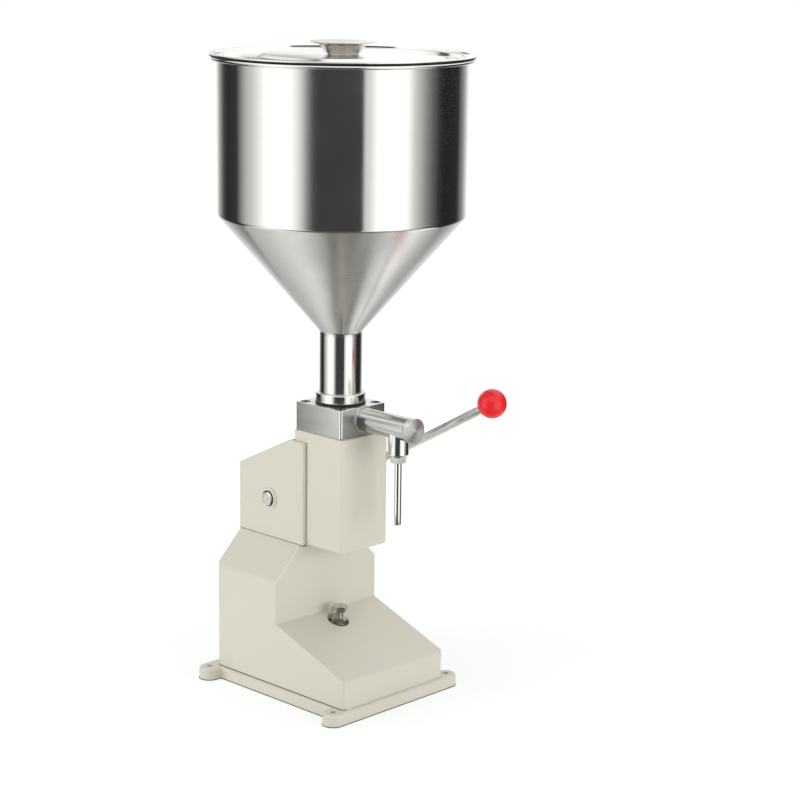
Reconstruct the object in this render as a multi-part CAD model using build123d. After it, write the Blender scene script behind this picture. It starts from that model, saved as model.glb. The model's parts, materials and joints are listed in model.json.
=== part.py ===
from build123d import *
from math import sqrt
import os

# Manual piston filler for paste: a lift-off hopper feeds a valve block, a vertical piston under
# the block draws and pushes the paste, and a side lever drives the piston through a slotted crank.
# Millimetres, +Z up. The origin is on the table, under the axis shared by hopper, piston and
# adjusting bolt. The nozzle is on the -Y side (front) and the lever on the +X side.

small_chamfer = 1.0

# Base plate
plate_half_width = 82.5
plate_front_y = -95.0
plate_back_y = 133.0
plate_thickness = 14.0
plate_edge_round = 3.0
lug_radius = 12.0
lug_centre_x = 89.0
lug_inner_corner_round = 3.0
lug_hole_diameter = 7.0

# Lower housing: a hollow casting with a sloped apron for the bottle and chamfered shoulders
housing_half_width = 78.7
housing_back_y = 119.0
housing_wall_y = 20.5
housing_lip_y = -88.3
housing_top_z = 170.0
housing_shoulder_z = 134.0
housing_wall = 6.0
housing_corner_round = 5.0
housing_shoulder_round = 8.0
housing_edge_round = 2.5
apron_top_z = 85.0
apron_lip_z = 45.3
apron_lip_round = 3.0

# Adjusting bolt, its lock nut and the spot-faced pocket that they stand in
bolt_diameter = 10.0
bolt_hex_flats = 16.0
bolt_head_height = 6.4
bolt_head_top_z = 95.6
bolt_length = 76.0
lock_nut_height = 8.0
pocket_radius = 12.5
pocket_centre_y = 1.5
pocket_floor_z = 73.0
bolt_boss_radius = 16.0
bolt_boss_bottom_z = 34.0

# Tower: the column that carries the block and guides the piston rod
tower_half_width = 36.4
tower_front_y = -40.0
tower_back_y = 38.4
tower_top_z = 300.0
tower_wall = 6.0
tower_corner_round = 6.0
tower_bottom_round = 4.0
tower_top_round = 1.5
tower_top_web = 12.0
tower_bottom_web = 8.0
tower_window_half_width = 17.5
tower_foot_half_width = 22.0
tower_foot_length = 60.0
tower_foot_thickness = 8.0

# Crank case: straddles the tower and carries the lever shaft
case_half_width = 41.6
case_front_y = 16.5
case_ridge_y = 40.0
case_back_y = 122.0
case_top_z = 288.0
case_back_top_z = 248.0
case_wall = 6.0
case_corner_round = 2.0
case_edge_round = 1.8
case_tower_gap = 0.4
shaft_boss_diameter = 24.5
shaft_boss_height = 1.2
inner_boss_diameter = 30.0
inner_boss_length = 7.0

# Lever shaft and its bushes
shaft_y = 71.0
shaft_z = 215.0
shaft_diameter = 16.0
shaft_end_chamfer = 1.0
shaft_left_protrusion = 2.6
bush_running_clearance = 0.05
bush_wall = 2.0
bush_flange_diameter = 20.5
bush_flange_thickness = 1.4
thrust_washer_diameter = 26.0
thrust_washer_thickness = 2.0
axial_play = 0.1
circlip_thickness = 1.2
circlip_groove_depth = 0.6
circlip_height = 2.6
key_width = 5.0
key_height = 5.0

# Piston, barrel and rod
piston_diameter = 40.0
piston_running_clearance = 0.05
piston_stroke = 40.0
piston_length = 18.0
piston_top_z = 312.0
piston_seal_section = 2.9
piston_seal_offsets = (5.0, 12.5)
piston_groove_width = 3.2
piston_nut_flats = 13.0
piston_nut_height = 4.5
piston_stud_diameter = 8.0
barrel_wall = 5.0
barrel_bottom_z = 256.0
barrel_into_block = 14.0
barrel_flange_diameter = 60.0
barrel_flange_thickness = 7.0
barrel_gasket_thickness = 1.0
rod_diameter = 14.0
rod_tail_z = 161.0
rod_guide_clearance = 0.05
guide_bush_wall = 3.0
guide_bush_flange_diameter = 28.0
guide_bush_flange_thickness = 2.0
crosshead_width = 15.0
crosshead_depth = 20.0
crosshead_height = 22.0
crosshead_pin_diameter = 10.0
crosshead_pin_fit = 0.02
crosshead_pin_overhang = 4.5
pin_clip_thickness = 1.0
pin_clip_height = 3.0
pin_clip_groove_depth = 0.8

# Crank arm: a fork on the shaft, with a slot in each tine for the crosshead pin
arm_hub_radius = 16.0
arm_tip_radius = 10.0
arm_tine_thickness = 6.0
arm_tine_clearance = 0.5
arm_slot_play = 0.35
arm_slot_end_play = 0.5

# Lever
lever_plane_x = 65.0
lever_rest_angle = 29.2
lever_length = 272.0
lever_rod_diameter = 10.0
lever_hub_diameter = 30.0
lever_hub_length = 34.0
lever_hub_chamfer = 1.5
lever_rod_start = 9.0
lever_nut_height = 6.0
lever_nut_flats = 17.0
ball_diameter = 32.0
ball_flat_offset = 13.8
ball_insert_diameter = 13.0
ball_insert_length = 16.0
set_screw_diameter = 6.0
set_screw_socket_flats = 3.0

# Valve block and its screws
block_half_width = 34.4
block_half_depth = 36.0
block_height = 32.0
block_edge_chamfer = 0.8
screw_hole_x = 27.0
screw_hole_y = 27.5
screw_diameter = 6.0
screw_head_diameter = 10.0
screw_head_height = 6.0
screw_socket_flats = 5.0
screw_head_clearance = 0.5
screw_head_sink = 7.5
block_screw_length = 36.0
inlet_seat_diameter = 44.0
inlet_seat_thickness = 4.0
inlet_chamber_roof = 8.0
inlet_port_diameter = 26.0
outlet_passage_diameter = 9.0

# Inlet check valve: a poppet hung from a spring, opened downwards by suction
poppet_diameter = 32.0
poppet_thickness = 3.0
poppet_stem_diameter = 5.0
poppet_stem_length = 24.0
guide_boss_diameter = 10.0
guide_boss_length = 8.0
guide_spokes = 3
guide_spoke_width = 3.0
stem_clearance = 0.05
stem_nut_height = 3.0
stem_nut_diameter = 13.0
inlet_spring_wire = 1.0
inlet_spring_radius = 5.0
inlet_spring_turns = 3.5

# Collar that the hopper plugs into
collar_diameter = 56.0
collar_height = 12.4
collar_thread_depth = 4.0
collar_top_round = 1.6
collar_base_groove = 1.2
collar_shoulder_z_above_block = 2.0
collar_flow_diameter = 38.0
neck_socket_clearance = 0.08
neck_seal_section = 2.4

# Outlet tube, its check valve and its end cap
tube_axis_drop = 13.5
tube_diameter = 26.0
tube_bore_diameter = 18.0
tube_end_y = -107.4
tube_root_depth = 4.0
tube_weld_leg = 2.0
cap_seal_thickness = 1.0
cap_seal_diameter = 23.0
cap_diameter = 28.0
cap_thickness = 7.0
cap_edge_chamfer = 0.8
cap_plug_length = 8.0
cap_crown = 0.8
outlet_seat_length = 6.0
outlet_seat_bore = 10.0
outlet_ball_diameter = 14.0
outlet_spring_wire = 1.2
outlet_spring_radius = 5.0
outlet_spring_turns = 9.0
seal_gap = 0.05
spring_end_gap = 0.1

# Spout and nozzle
spout_y = -90.0
spout_diameter = 23.0
spout_drop = 31.5
spout_bottom_chamfer = 2.4
spout_thread_diameter = 14.0
spout_thread_depth = 13.5
spout_passage_diameter = 8.0
nozzle_diameter = 8.0
nozzle_bore = 6.0
nozzle_tip_z = 209.5
nozzle_neck_diameter = 7.2
nozzle_neck_drop = 1.0
nozzle_flange_diameter = 12.0
nozzle_flange_thickness = 2.0
nozzle_seal_thickness = 1.5
nozzle_nut_flats = 17.0
nozzle_nut_height = 7.2
nozzle_nut_fit = 0.05
nozzle_nut_turn = 15.0
hex_corner_chamfer = 0.8

# Hopper: rolled cylinder, cone and neck welded from sheet
sheet = 1.2
hopper_radius = 135.0
hopper_seam_z = 541.0
hopper_knuckle_round = 5.0
hopper_weld_drop = 0.3
hopper_rim_z = 711.0
hopper_bead_radius = 2.4
hopper_bead_reach = 7.0
neck_radius = 23.8
neck_top_z = 412.6
neck_knuckle_round = 4.0

# Lid and its knob
lid_overhang = 1.6
lid_radius = hopper_radius + hopper_bead_reach + lid_overhang
lid_sheet = 0.9
lid_rest_reach = 2.0
lid_rest_radius = hopper_radius + lid_rest_reach
lid_brim_rise = 2.0
lid_hem_height = 1.35
lid_edge_round = 0.8
lid_plug_play = 2.3
lid_plug_radius = hopper_radius - sheet - lid_plug_play
lid_plug_depth = 5.0
lid_channel_radius = 116.0
lid_step_width = 5.0
lid_step_height = 3.6
lid_plateau_radius = 92.0
lid_plateau_step = 2.8
lid_slope_width = 5.0
lid_rim_gap = 0.05
knob_foot_radius = 17.0
knob_foot_height = 0.8
knob_waist_radius = 18.2
knob_neck_radius = 25.4
knob_rim_radius = 35.5
knob_height = 13.4
knob_flare_height = 3.2
knob_dish_depth = 1.6
knob_sheet = 1.4
knob_boss_radius = 6.0
knob_screw_diameter = 5.0
knob_screw_head_diameter = 10.0
knob_screw_head_height = 2.6

# Fasteners inside the castings
foot_screw_x = 15.0
foot_screw_front_offset = 14.0
foot_screw_back_offset = 50.0
case_screw_x = 29.0
case_screw_front_y = 62.0
case_screw_back_y = 106.0
case_screw_boss_radius = 6.5
case_screw_boss_height = 18.0
base_screw_post_radius = 9.0
base_screw_post_height = 26.0
base_screw_corner_offset = 8.0
hidden_screw_length = 18.0

# Derived places
plate_length = plate_back_y - plate_front_y
lug_front_y = plate_front_y + lug_radius
lug_back_y = plate_back_y - lug_radius
shoulder_line_sum = housing_half_width + housing_shoulder_z
apron_slope = (apron_top_z - apron_lip_z) / (housing_wall_y - housing_lip_y)
case_roof_slope = (case_top_z - case_back_top_z) / (case_back_y - case_ridge_y)
block_bottom_z = tower_top_z
block_top_z = block_bottom_z + block_height
chamber_top_z = block_top_z - inlet_chamber_roof
barrel_top_z = block_bottom_z + barrel_into_block
barrel_outer_radius = piston_diameter / 2 + barrel_wall
tube_z = block_top_z - tube_axis_drop
piston_bottom_z = piston_top_z - piston_length
crosshead_rest_z = shaft_z + piston_stroke / 2
bolt_neck_z = bolt_head_top_z - bolt_head_height
case_cheek_outer_x = case_half_width + shaft_boss_height + bush_flange_thickness
hub_left_x = case_cheek_outer_x + thrust_washer_thickness + axial_play
hub_right_x = hub_left_x + lever_hub_length
collar_top_z = block_top_z + collar_height
neck_seat_z = block_top_z + collar_shoulder_z_above_block
spout_bottom_z = tube_z - spout_drop
spout_thread_top_z = spout_bottom_z + spout_thread_depth
nut_bottom_z = spout_bottom_z - nozzle_nut_height
lid_base_z = hopper_rim_z + lid_rim_gap

# How far a cut runs past the face that it opens
cut_margin = 1.0


# Basic solids between two faces


def block_between(x_range, y_range, z_range):
    """A box between two values on each axis."""
    size = [high - low for low, high in (x_range, y_range, z_range)]
    middle = [(high + low) / 2 for low, high in (x_range, y_range, z_range)]
    return Pos(*middle) * Box(*size)


def rod_z(radius, bottom, top, x=0.0, y=0.0):
    """A round bar along Z."""
    return Pos(x, y, (bottom + top) / 2) * Cylinder(radius, top - bottom)


def rod_x(radius, left, right, y=0.0, z=0.0):
    """A round bar along X."""
    return Pos((left + right) / 2, y, z) * Rot(0, 90, 0) * Cylinder(radius, right - left)


def rod_y(radius, front, back, x=0.0, z=0.0):
    """A round bar along Y."""
    return Pos(x, (front + back) / 2, z) * Rot(90, 0, 0) * Cylinder(radius, back - front)


def hex_z(flats, bottom, top, x=0.0, y=0.0, turn=0.0):
    """A hexagonal bar along Z, with its width measured across flats."""
    outline = RegularPolygon(flats / 2, 6, major_radius=False)
    return Pos(x, y, bottom) * Rot(0, 0, turn) * extrude(outline, top - bottom)


def side_profile(points, half_width, rounds=()):
    """A side outline (Y, Z), with some corners rounded, extruded to both sides of X = 0."""
    face = make_face(Polyline(*points, close=True))
    for (y, z), radius in rounds:
        corner = face.vertices().sort_by_distance((y, z, 0))[0]
        face = fillet(corner, radius)
    return Pos(-half_width, 0, 0) * extrude(Plane.YZ * face, 2 * half_width)


def front_profile(points, front_y, back_y, rounds=()):
    """A front outline (X, Z), with some corners rounded, extruded from front to back."""
    face = make_face(Polyline(*points, close=True))
    for (x, z), radius in rounds:
        corner = face.vertices().sort_by_distance((x, z, 0))[0]
        face = fillet(corner, radius)
    return Pos(0, back_y, 0) * extrude(Plane.XZ * face, back_y - front_y)


def rounded_plan(x_half, y_range, z_range, radius):
    """A vertical bar with a rectangular plan and rounded corners."""
    front, back = y_range
    outline = RectangleRounded(2 * x_half, back - front, radius)
    return Pos(0, (front + back) / 2, z_range[0]) * extrude(outline, z_range[1] - z_range[0])


def turned(points, rounds=()):
    """A profile of (radius, height) points turned about the Z axis."""
    face = make_face(Polyline(*points, close=True))
    for (radius_at, height_at), radius in rounds:
        corner = face.vertices().sort_by_distance((radius_at, height_at, 0))[0]
        face = fillet(corner, radius)
    return revolve(Plane.XZ * face, Axis.Z)


def along_x(shape, x, y, z):
    """Lays a piece made along +Z down along +X, with its foot at the given point."""
    return Pos(x, y, z) * Rot(0, 90, 0) * shape


def along_front(shape, y, z):
    """Lays a piece made along +Z down along -Y, with its foot at the given point."""
    return Pos(0, y, z) * Rot(90, 0, 0) * shape


def lever_frame(shape, reach):
    """Places a piece made along +Z on the lever's line, at a distance from the shaft's axis."""
    lever_turn = 90.0 - lever_rest_angle
    return Pos(lever_plane_x, shaft_y, shaft_z) * Rot(lever_turn, 0, 0) * Pos(0, 0, reach) * shape


def cap_screw(length, diameter=screw_diameter):
    """A socket cap screw that points down, with the underside of its head at Z = 0."""
    head = Cylinder(screw_head_diameter / 2, screw_head_height)
    head = Pos(0, 0, screw_head_height / 2) * head
    head = chamfer(head.edges().group_by(Axis.Z)[-1], block_edge_chamfer / 2)
    socket = hex_z(screw_socket_flats, screw_head_height / 2, screw_head_height + cut_margin)
    return head - socket + rod_z(diameter / 2, -length, 0)


def spring(radius, wire, turns, length):
    """An open compression spring along +Z, from Z = 0 to its length, ends included."""
    path = Helix(pitch=(length - wire) / turns, height=length - wire, radius=radius)
    section = (path ^ 0) * Circle(wire / 2)
    return Pos(0, 0, wire / 2) * sweep(section, path=path, is_frenet=True)


def o_ring(centre_radius, section, z):
    """A round seal ring on the Z axis."""
    return Pos(0, 0, z) * Torus(centre_radius, section / 2)


def mirrored_pairs(x, ys):
    """Four places: the two sides of X = 0 at each of two Y values."""
    return [(side * x, y) for side in (-1, 1) for y in ys]


# Castings


def make_base_plate():
    """Base plate with four bolt lugs that stand out sideways at its corners."""
    outline = Pos(0, (plate_front_y + plate_back_y) / 2) * Rectangle(2 * plate_half_width, plate_length)
    for x, y in mirrored_pairs(lug_centre_x, (lug_front_y, lug_back_y)):
        outline += Pos(x, y) * Circle(lug_radius)
        outline += Pos(x / 2, y) * Rectangle(abs(x), 2 * lug_radius)
    inner_y = (lug_front_y + lug_radius, lug_back_y - lug_radius)
    for x, y in mirrored_pairs(plate_half_width, inner_y):
        corner = outline.vertices().sort_by_distance((x, y, 0))[0]
        outline = fillet(corner, lug_inner_corner_round)
    plate = extrude(outline, plate_thickness)
    plate = fillet(plate.edges().group_by(Axis.Z)[-1], plate_edge_round)
    for x, y in mirrored_pairs(lug_centre_x, (lug_front_y, lug_back_y)):
        plate -= rod_z(lug_hole_diameter / 2, -cut_margin, plate_thickness + cut_margin, x, y)
    for x, y in base_screw_places():
        plate -= rod_z(screw_diameter / 2, 0, plate_thickness + cut_margin, x, y)
        head_room = screw_head_diameter / 2 + screw_head_clearance
        plate -= rod_z(head_room, -cut_margin, screw_head_sink, x, y)
    return plate


def base_screw_places():
    """Corners of the housing where screws come up through the plate."""
    inset = housing_wall + base_screw_corner_offset
    x = housing_half_width - inset
    return mirrored_pairs(x, (housing_lip_y + inset, housing_back_y - inset))


def housing_shell(wall):
    """Outer form of the lower housing for no wall, or the cavity that leaves such a wall."""
    half_width = housing_half_width - wall
    top_z = housing_top_z - wall
    line_sum = shoulder_line_sum - wall * sqrt(2)
    bottom = plate_thickness - (cut_margin if wall else 0.0)
    shoulder = (half_width, line_sum - half_width)
    ridge = (line_sum - top_z, top_z)
    right = [(half_width, bottom), shoulder, ridge]
    left = [(-x, z) for x, z in reversed(right)]
    rounds = [((side * shoulder[0], shoulder[1]), housing_shoulder_round) for side in (-1, 1)]
    rear = front_profile(right + left, housing_wall_y + wall, housing_back_y - wall, rounds)
    slope_drop = wall * sqrt(1 + apron_slope ** 2)
    lip_y = housing_lip_y + wall
    lip_z = apron_lip_z + apron_slope * wall - slope_drop
    meet_y = housing_wall_y + (2 * wall if wall else housing_edge_round + cut_margin)
    meet_z = lip_z + apron_slope * (meet_y - lip_y)
    side = [(meet_y, bottom), (meet_y, meet_z), (lip_y, lip_z), (lip_y, bottom)]
    apron = side_profile(side, half_width, [((lip_y, lip_z), apron_lip_round)])
    if not wall:
        front_edges = rear.edges().group_by(Axis.Y)[0]
        rear = fillet(front_edges.sort_by(Axis.Z)[1:], housing_edge_round)
        for end in (0, -1):
            end_edges = apron.edges().group_by(Axis.X)[end]
            apron = fillet(end_edges.sort_by(Axis.Z)[-3:-1], housing_edge_round)
    plan = rounded_plan(half_width, (lip_y, housing_back_y - wall), (bottom, top_z), housing_corner_round)
    return (rear + apron) & plan


def make_lower_housing():
    """Hollow lower casting, with posts for its screws and a threaded boss for the bolt."""
    housing = housing_shell(0.0) - housing_shell(housing_wall)
    boss = rod_z(bolt_boss_radius, bolt_boss_bottom_z, pocket_floor_z, 0, pocket_centre_y)
    housing += boss
    for x, y in base_screw_places():
        post_top = plate_thickness + base_screw_post_height
        post = rod_z(base_screw_post_radius, plate_thickness, post_top, x, y)
        housing += post & housing_shell(0.0)
        housing -= rod_z(screw_diameter / 2, plate_thickness - cut_margin, post_top - housing_wall, x, y)
    housing -= rod_z(pocket_radius, pocket_floor_z, apron_top_z, 0, pocket_centre_y)
    housing -= rod_z(bolt_diameter / 2 + seal_gap, bolt_boss_bottom_z - cut_margin, apron_top_z)
    for x, y in foot_screw_places() + case_screw_places():
        hole_bottom = housing_top_z - 2 * housing_wall
        housing -= rod_z(screw_diameter / 2, hole_bottom, housing_top_z + cut_margin, x, y)
    return housing


def foot_screw_places():
    """Screws that hold the tower's foot down on the housing."""
    ys = (tower_back_y + foot_screw_front_offset, tower_back_y + foot_screw_back_offset)
    return mirrored_pairs(foot_screw_x, ys)


def case_screw_places():
    """Screws that come up from inside the housing into the crank case."""
    return mirrored_pairs(case_screw_x, (case_screw_front_y, case_screw_back_y))


def make_tower_housing():
    """Hollow column with a foot, a barrel seat in its top and a rod guide in its floor."""
    outer = rounded_plan(
        tower_half_width, (tower_front_y, tower_back_y), (housing_top_z, tower_top_z), tower_corner_round
    )
    outer = fillet(outer.edges().group_by(Axis.Z)[0], tower_bottom_round)
    outer = fillet(outer.edges().group_by(Axis.Z)[-1], tower_top_round)
    inner = block_between(
        (-tower_half_width + tower_wall, tower_half_width - tower_wall),
        (tower_front_y + tower_wall, tower_back_y - tower_wall),
        (housing_top_z + tower_bottom_web, tower_top_z - tower_top_web),
    )
    tower = outer - inner
    hole_bottom = tower_top_z + screw_head_clearance - block_screw_length
    for x, y in mirrored_pairs(screw_hole_x, (-screw_hole_y, screw_hole_y)):
        post = rod_z(screw_diameter, hole_bottom - tower_wall, tower_top_z - tower_top_web, x, y)
        tower += post & outer
        tower -= rod_z(screw_diameter / 2, hole_bottom, tower_top_z + cut_margin, x, y)
    barrel_hole = barrel_outer_radius + seal_gap
    tower -= rod_z(barrel_hole, tower_top_z - 2 * tower_top_web, tower_top_z + cut_margin)
    flange_seat_z = tower_top_z - barrel_gasket_thickness - barrel_flange_thickness
    tower -= rod_z(barrel_flange_diameter / 2 + seal_gap, flange_seat_z, tower_top_z + cut_margin)
    tower -= rod_z(guide_bush_radius(), housing_top_z - cut_margin, housing_top_z + 2 * tower_bottom_web)
    sweep_room = piston_stroke / 2 + arm_hub_radius
    tower -= block_between(
        (-tower_window_half_width, tower_window_half_width),
        (tower_back_y - 2 * tower_wall, tower_back_y + cut_margin),
        (shaft_z - sweep_room + cut_margin, shaft_z + sweep_room),
    )
    foot = block_between(
        (-tower_foot_half_width, tower_foot_half_width),
        (tower_back_y - tower_wall, tower_back_y + tower_foot_length),
        (housing_top_z, housing_top_z + tower_foot_thickness),
    )
    tower += foot
    foot_top = housing_top_z + tower_foot_thickness
    for x, y in foot_screw_places():
        tower -= rod_z(screw_diameter / 2, housing_top_z - cut_margin, foot_top + cut_margin, x, y)
    return tower


def guide_bush_radius():
    """Outer radius of the rod's guide bush."""
    return rod_diameter / 2 + rod_guide_clearance + guide_bush_wall


def case_roof_z(y, drop=0.0):
    """Height of the crank case's roof at a place along Y, lowered square to its slope."""
    level = case_top_z - max(0.0, y - case_ridge_y) * case_roof_slope
    return level - drop * sqrt(1 + case_roof_slope ** 2)


def make_crank_case():
    """Pentagonal case whose cheeks straddle the tower and carry the lever shaft."""
    outline = [
        (case_front_y, housing_top_z),
        (case_front_y, case_top_z),
        (case_ridge_y, case_top_z),
        (case_back_y, case_back_top_z),
        (case_back_y, housing_top_z),
    ]
    rounds = [(point, case_corner_round) for point in outline[1:4]]
    case = side_profile(outline, case_half_width, rounds)
    for end in (0, -1):
        case = fillet(case.faces().sort_by(Axis.X)[end].edges(), case_edge_round)
    cavity_half_width = case_half_width - case_wall
    tower_side = tower_half_width + case_tower_gap
    case -= block_between(
        (-tower_side, tower_side),
        (case_front_y - cut_margin, tower_back_y + case_tower_gap),
        (housing_top_z - cut_margin, case_top_z + cut_margin),
    )
    inside_back_y = case_back_y - case_wall
    cavity = [
        (tower_back_y - cut_margin, housing_top_z - cut_margin),
        (tower_back_y - cut_margin, case_roof_z(tower_back_y, case_wall)),
        (case_ridge_y, case_roof_z(case_ridge_y, case_wall)),
        (inside_back_y, case_roof_z(inside_back_y, case_wall)),
        (inside_back_y, housing_top_z - cut_margin),
    ]
    case -= side_profile(cavity, cavity_half_width)
    bush_hole = bush_outer_radius()
    for side in (-1, 1):
        wall_x = sorted((side * (cavity_half_width - inner_boss_length), side * case_half_width))
        case += rod_x(inner_boss_diameter / 2, wall_x[0], wall_x[1], shaft_y, shaft_z)
        boss_face = case_half_width + shaft_boss_height
        boss_x = sorted((side * (case_half_width - cut_margin), side * boss_face))
        case += rod_x(shaft_boss_diameter / 2, boss_x[0], boss_x[1], shaft_y, shaft_z)
    case -= rod_x(bush_hole, -2 * case_half_width, 2 * case_half_width, shaft_y, shaft_z)
    for x, y in case_screw_places():
        reach = cavity_half_width - abs(x)
        side = 1 if x > 0 else -1
        boss_top = housing_top_z + case_screw_boss_height
        boss = rod_z(case_screw_boss_radius, housing_top_z, boss_top, x, y)
        web_x = sorted((x, x + side * (reach + cut_margin)))
        web_y = (y - case_screw_boss_radius, y + case_screw_boss_radius)
        case += boss + block_between(web_x, web_y, (housing_top_z, boss_top))
        case -= rod_z(screw_diameter / 2, housing_top_z - cut_margin, boss_top - case_wall / 2, x, y)
    return case


def bush_outer_radius():
    """Outer radius of a shaft bush."""
    return shaft_diameter / 2 + bush_running_clearance + bush_wall


# Fasteners of the castings


def make_base_screws():
    """Four screws from under the plate into the housing's posts."""
    screw = Rot(180, 0, 0) * cap_screw(hidden_screw_length + screw_head_sink)
    return [Pos(x, y, screw_head_sink) * screw for x, y in base_screw_places()]


def make_tower_screws():
    """Four screws that hold the tower's foot on the housing."""
    top = housing_top_z + tower_foot_thickness
    screw = cap_screw(tower_foot_thickness + housing_wall)
    return [Pos(x, y, top) * screw for x, y in foot_screw_places()]


def make_case_screws():
    """Four screws from inside the housing up into the crank case."""
    under = housing_top_z - housing_wall
    screw = Rot(180, 0, 0) * cap_screw(hidden_screw_length)
    return [Pos(x, y, under) * screw for x, y in case_screw_places()]


# Valve block


def make_valve_block():
    """Square stainless block with the piston chamber, the inlet and the outlet passage."""
    block = block_between(
        (-block_half_width, block_half_width),
        (-block_half_depth, block_half_depth),
        (block_bottom_z, block_top_z),
    )
    block = chamfer(block.edges().filter_by(Axis.Z), block_edge_chamfer)
    block -= rod_z(barrel_outer_radius + seal_gap, block_bottom_z - cut_margin, barrel_top_z)
    block -= rod_z(piston_diameter / 2, block_bottom_z, chamber_top_z)
    block -= rod_z(inlet_seat_diameter / 2, chamber_top_z, block_top_z + cut_margin)
    block -= rod_y(outlet_passage_diameter / 2, -2 * block_half_depth, 0, 0, tube_z)
    spigot_end = tube_root_depth - block_half_depth
    block -= rod_y(tube_spigot_radius(), -2 * block_half_depth, spigot_end, 0, tube_z)
    head_room = screw_head_diameter / 2 + screw_head_clearance
    for x, y in mirrored_pairs(screw_hole_x, (-screw_hole_y, screw_hole_y)):
        block -= rod_z(screw_diameter / 2, block_bottom_z - cut_margin, block_top_z, x, y)
        block -= rod_z(head_room, block_top_z - screw_head_sink, block_top_z + cut_margin, x, y)
    return block


def tube_spigot_radius():
    """Radius of the tube's root spigot, which seats in the block's face."""
    return tube_bore_diameter / 2 + (tube_diameter - tube_bore_diameter) / 4


def make_block_screws():
    """Four socket screws through the block into the tower."""
    under_head = block_top_z - screw_head_sink
    places = mirrored_pairs(screw_hole_x, (-screw_hole_y, screw_hole_y))
    return [Pos(x, y, under_head) * cap_screw(block_screw_length) for x, y in places]


def make_hopper_collar():
    """Turned collar screwed into the block, with the socket that takes the hopper's neck."""
    thread_z = block_top_z - collar_thread_depth
    flow = collar_flow_diameter / 2
    socket = neck_radius + neck_socket_clearance
    outer = collar_diameter / 2
    groove = outer - collar_base_groove
    points = [
        (flow, thread_z),
        (inlet_seat_diameter / 2, thread_z),
        (inlet_seat_diameter / 2, block_top_z),
        (groove, block_top_z),
        (groove, block_top_z + collar_base_groove),
        (outer, block_top_z + collar_base_groove),
        (outer, collar_top_z),
        (socket, collar_top_z),
        (socket, neck_seat_z),
        (flow, neck_seat_z),
    ]
    collar = turned(points, [((outer, collar_top_z), collar_top_round)])
    return collar - o_ring(neck_seal_radius(), neck_seal_section, neck_seal_z())


def neck_seal_radius():
    """Centre radius of the seal ring in the collar's socket."""
    return neck_radius + seal_gap + neck_seal_section / 2


def neck_seal_z():
    """Height of the seal ring in the collar's socket."""
    return (neck_seat_z + collar_top_z) / 2


def make_collar_seal():
    """Seal ring in the collar's socket."""
    return o_ring(neck_seal_radius(), neck_seal_section, neck_seal_z())


def make_inlet_seat():
    """Valve seat ring with a three-spoke bridge that guides the poppet's stem."""
    outer = inlet_seat_diameter / 2
    port = inlet_port_diameter / 2
    seat_top = chamber_top_z + inlet_seat_thickness
    seat = rod_z(outer, chamber_top_z, seat_top)
    seat -= rod_z(port, chamber_top_z - cut_margin, seat_top + cut_margin)
    spoke_bottom = seat_top - inlet_seat_thickness / 2
    half = guide_spoke_width / 2
    spoke = block_between((0, port + cut_margin), (-half, half), (spoke_bottom, seat_top))
    for number in range(guide_spokes):
        seat += Rot(0, 0, number * 360 / guide_spokes) * spoke
    boss_top = spoke_bottom + guide_boss_length
    seat += rod_z(guide_boss_diameter / 2, spoke_bottom, boss_top)
    return seat - rod_z(poppet_stem_diameter / 2 + stem_clearance, chamber_top_z, boss_top + cut_margin)


def make_inlet_poppet():
    """Mushroom valve under the seat, with its stem up through the guide."""
    bottom = chamber_top_z - poppet_thickness - seal_gap
    top = chamber_top_z - seal_gap
    edge = poppet_diameter / 2
    stem = poppet_stem_diameter / 2
    stem_top = top + poppet_stem_length
    points = [(0, bottom), (edge, bottom), (edge, top), (stem, top), (stem, stem_top), (0, stem_top)]
    return turned(points, [((edge, bottom), poppet_thickness / 2)])


def guide_boss_top_z():
    """Top of the stem guide, where the inlet spring stands."""
    return chamber_top_z + inlet_seat_thickness / 2 + guide_boss_length


def stem_nut_bottom_z():
    """Underside of the stem nut, where the inlet spring ends."""
    return chamber_top_z - seal_gap + poppet_stem_length - stem_nut_height


def make_stem_nut():
    """Round nut at the stem's top, which holds the spring."""
    bottom = stem_nut_bottom_z()
    nut = rod_z(stem_nut_diameter / 2, bottom, bottom + stem_nut_height)
    return nut - rod_z(poppet_stem_diameter / 2, bottom - cut_margin, bottom + 2 * stem_nut_height)


def make_inlet_spring():
    """Spring that holds the poppet up against its seat."""
    length = stem_nut_bottom_z() - guide_boss_top_z()
    coil = spring(inlet_spring_radius, inlet_spring_wire, inlet_spring_turns, length)
    return Pos(0, 0, guide_boss_top_z()) * coil


# Barrel and piston


def make_piston_barrel():
    """Stainless barrel that hangs from the block, clamped by its flange."""
    flange_bottom = tower_top_z - barrel_gasket_thickness - barrel_flange_thickness
    barrel = rod_z(barrel_outer_radius, barrel_bottom_z, barrel_top_z)
    barrel += rod_z(barrel_flange_diameter / 2, flange_bottom, flange_bottom + barrel_flange_thickness)
    barrel -= rod_z(piston_diameter / 2, barrel_bottom_z - cut_margin, barrel_top_z + cut_margin)
    return chamfer(barrel.edges().group_by(Axis.Z)[0], small_chamfer)


def make_barrel_gasket():
    """Flat gasket between the barrel's flange and the block."""
    bottom = tower_top_z - barrel_gasket_thickness
    ring = rod_z(barrel_flange_diameter / 2, bottom, tower_top_z)
    return ring - rod_z(barrel_outer_radius + seal_gap, bottom - cut_margin, tower_top_z + cut_margin)


def piston_radius():
    """Radius of the piston with its running clearance in the barrel."""
    return piston_diameter / 2 - piston_running_clearance


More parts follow.
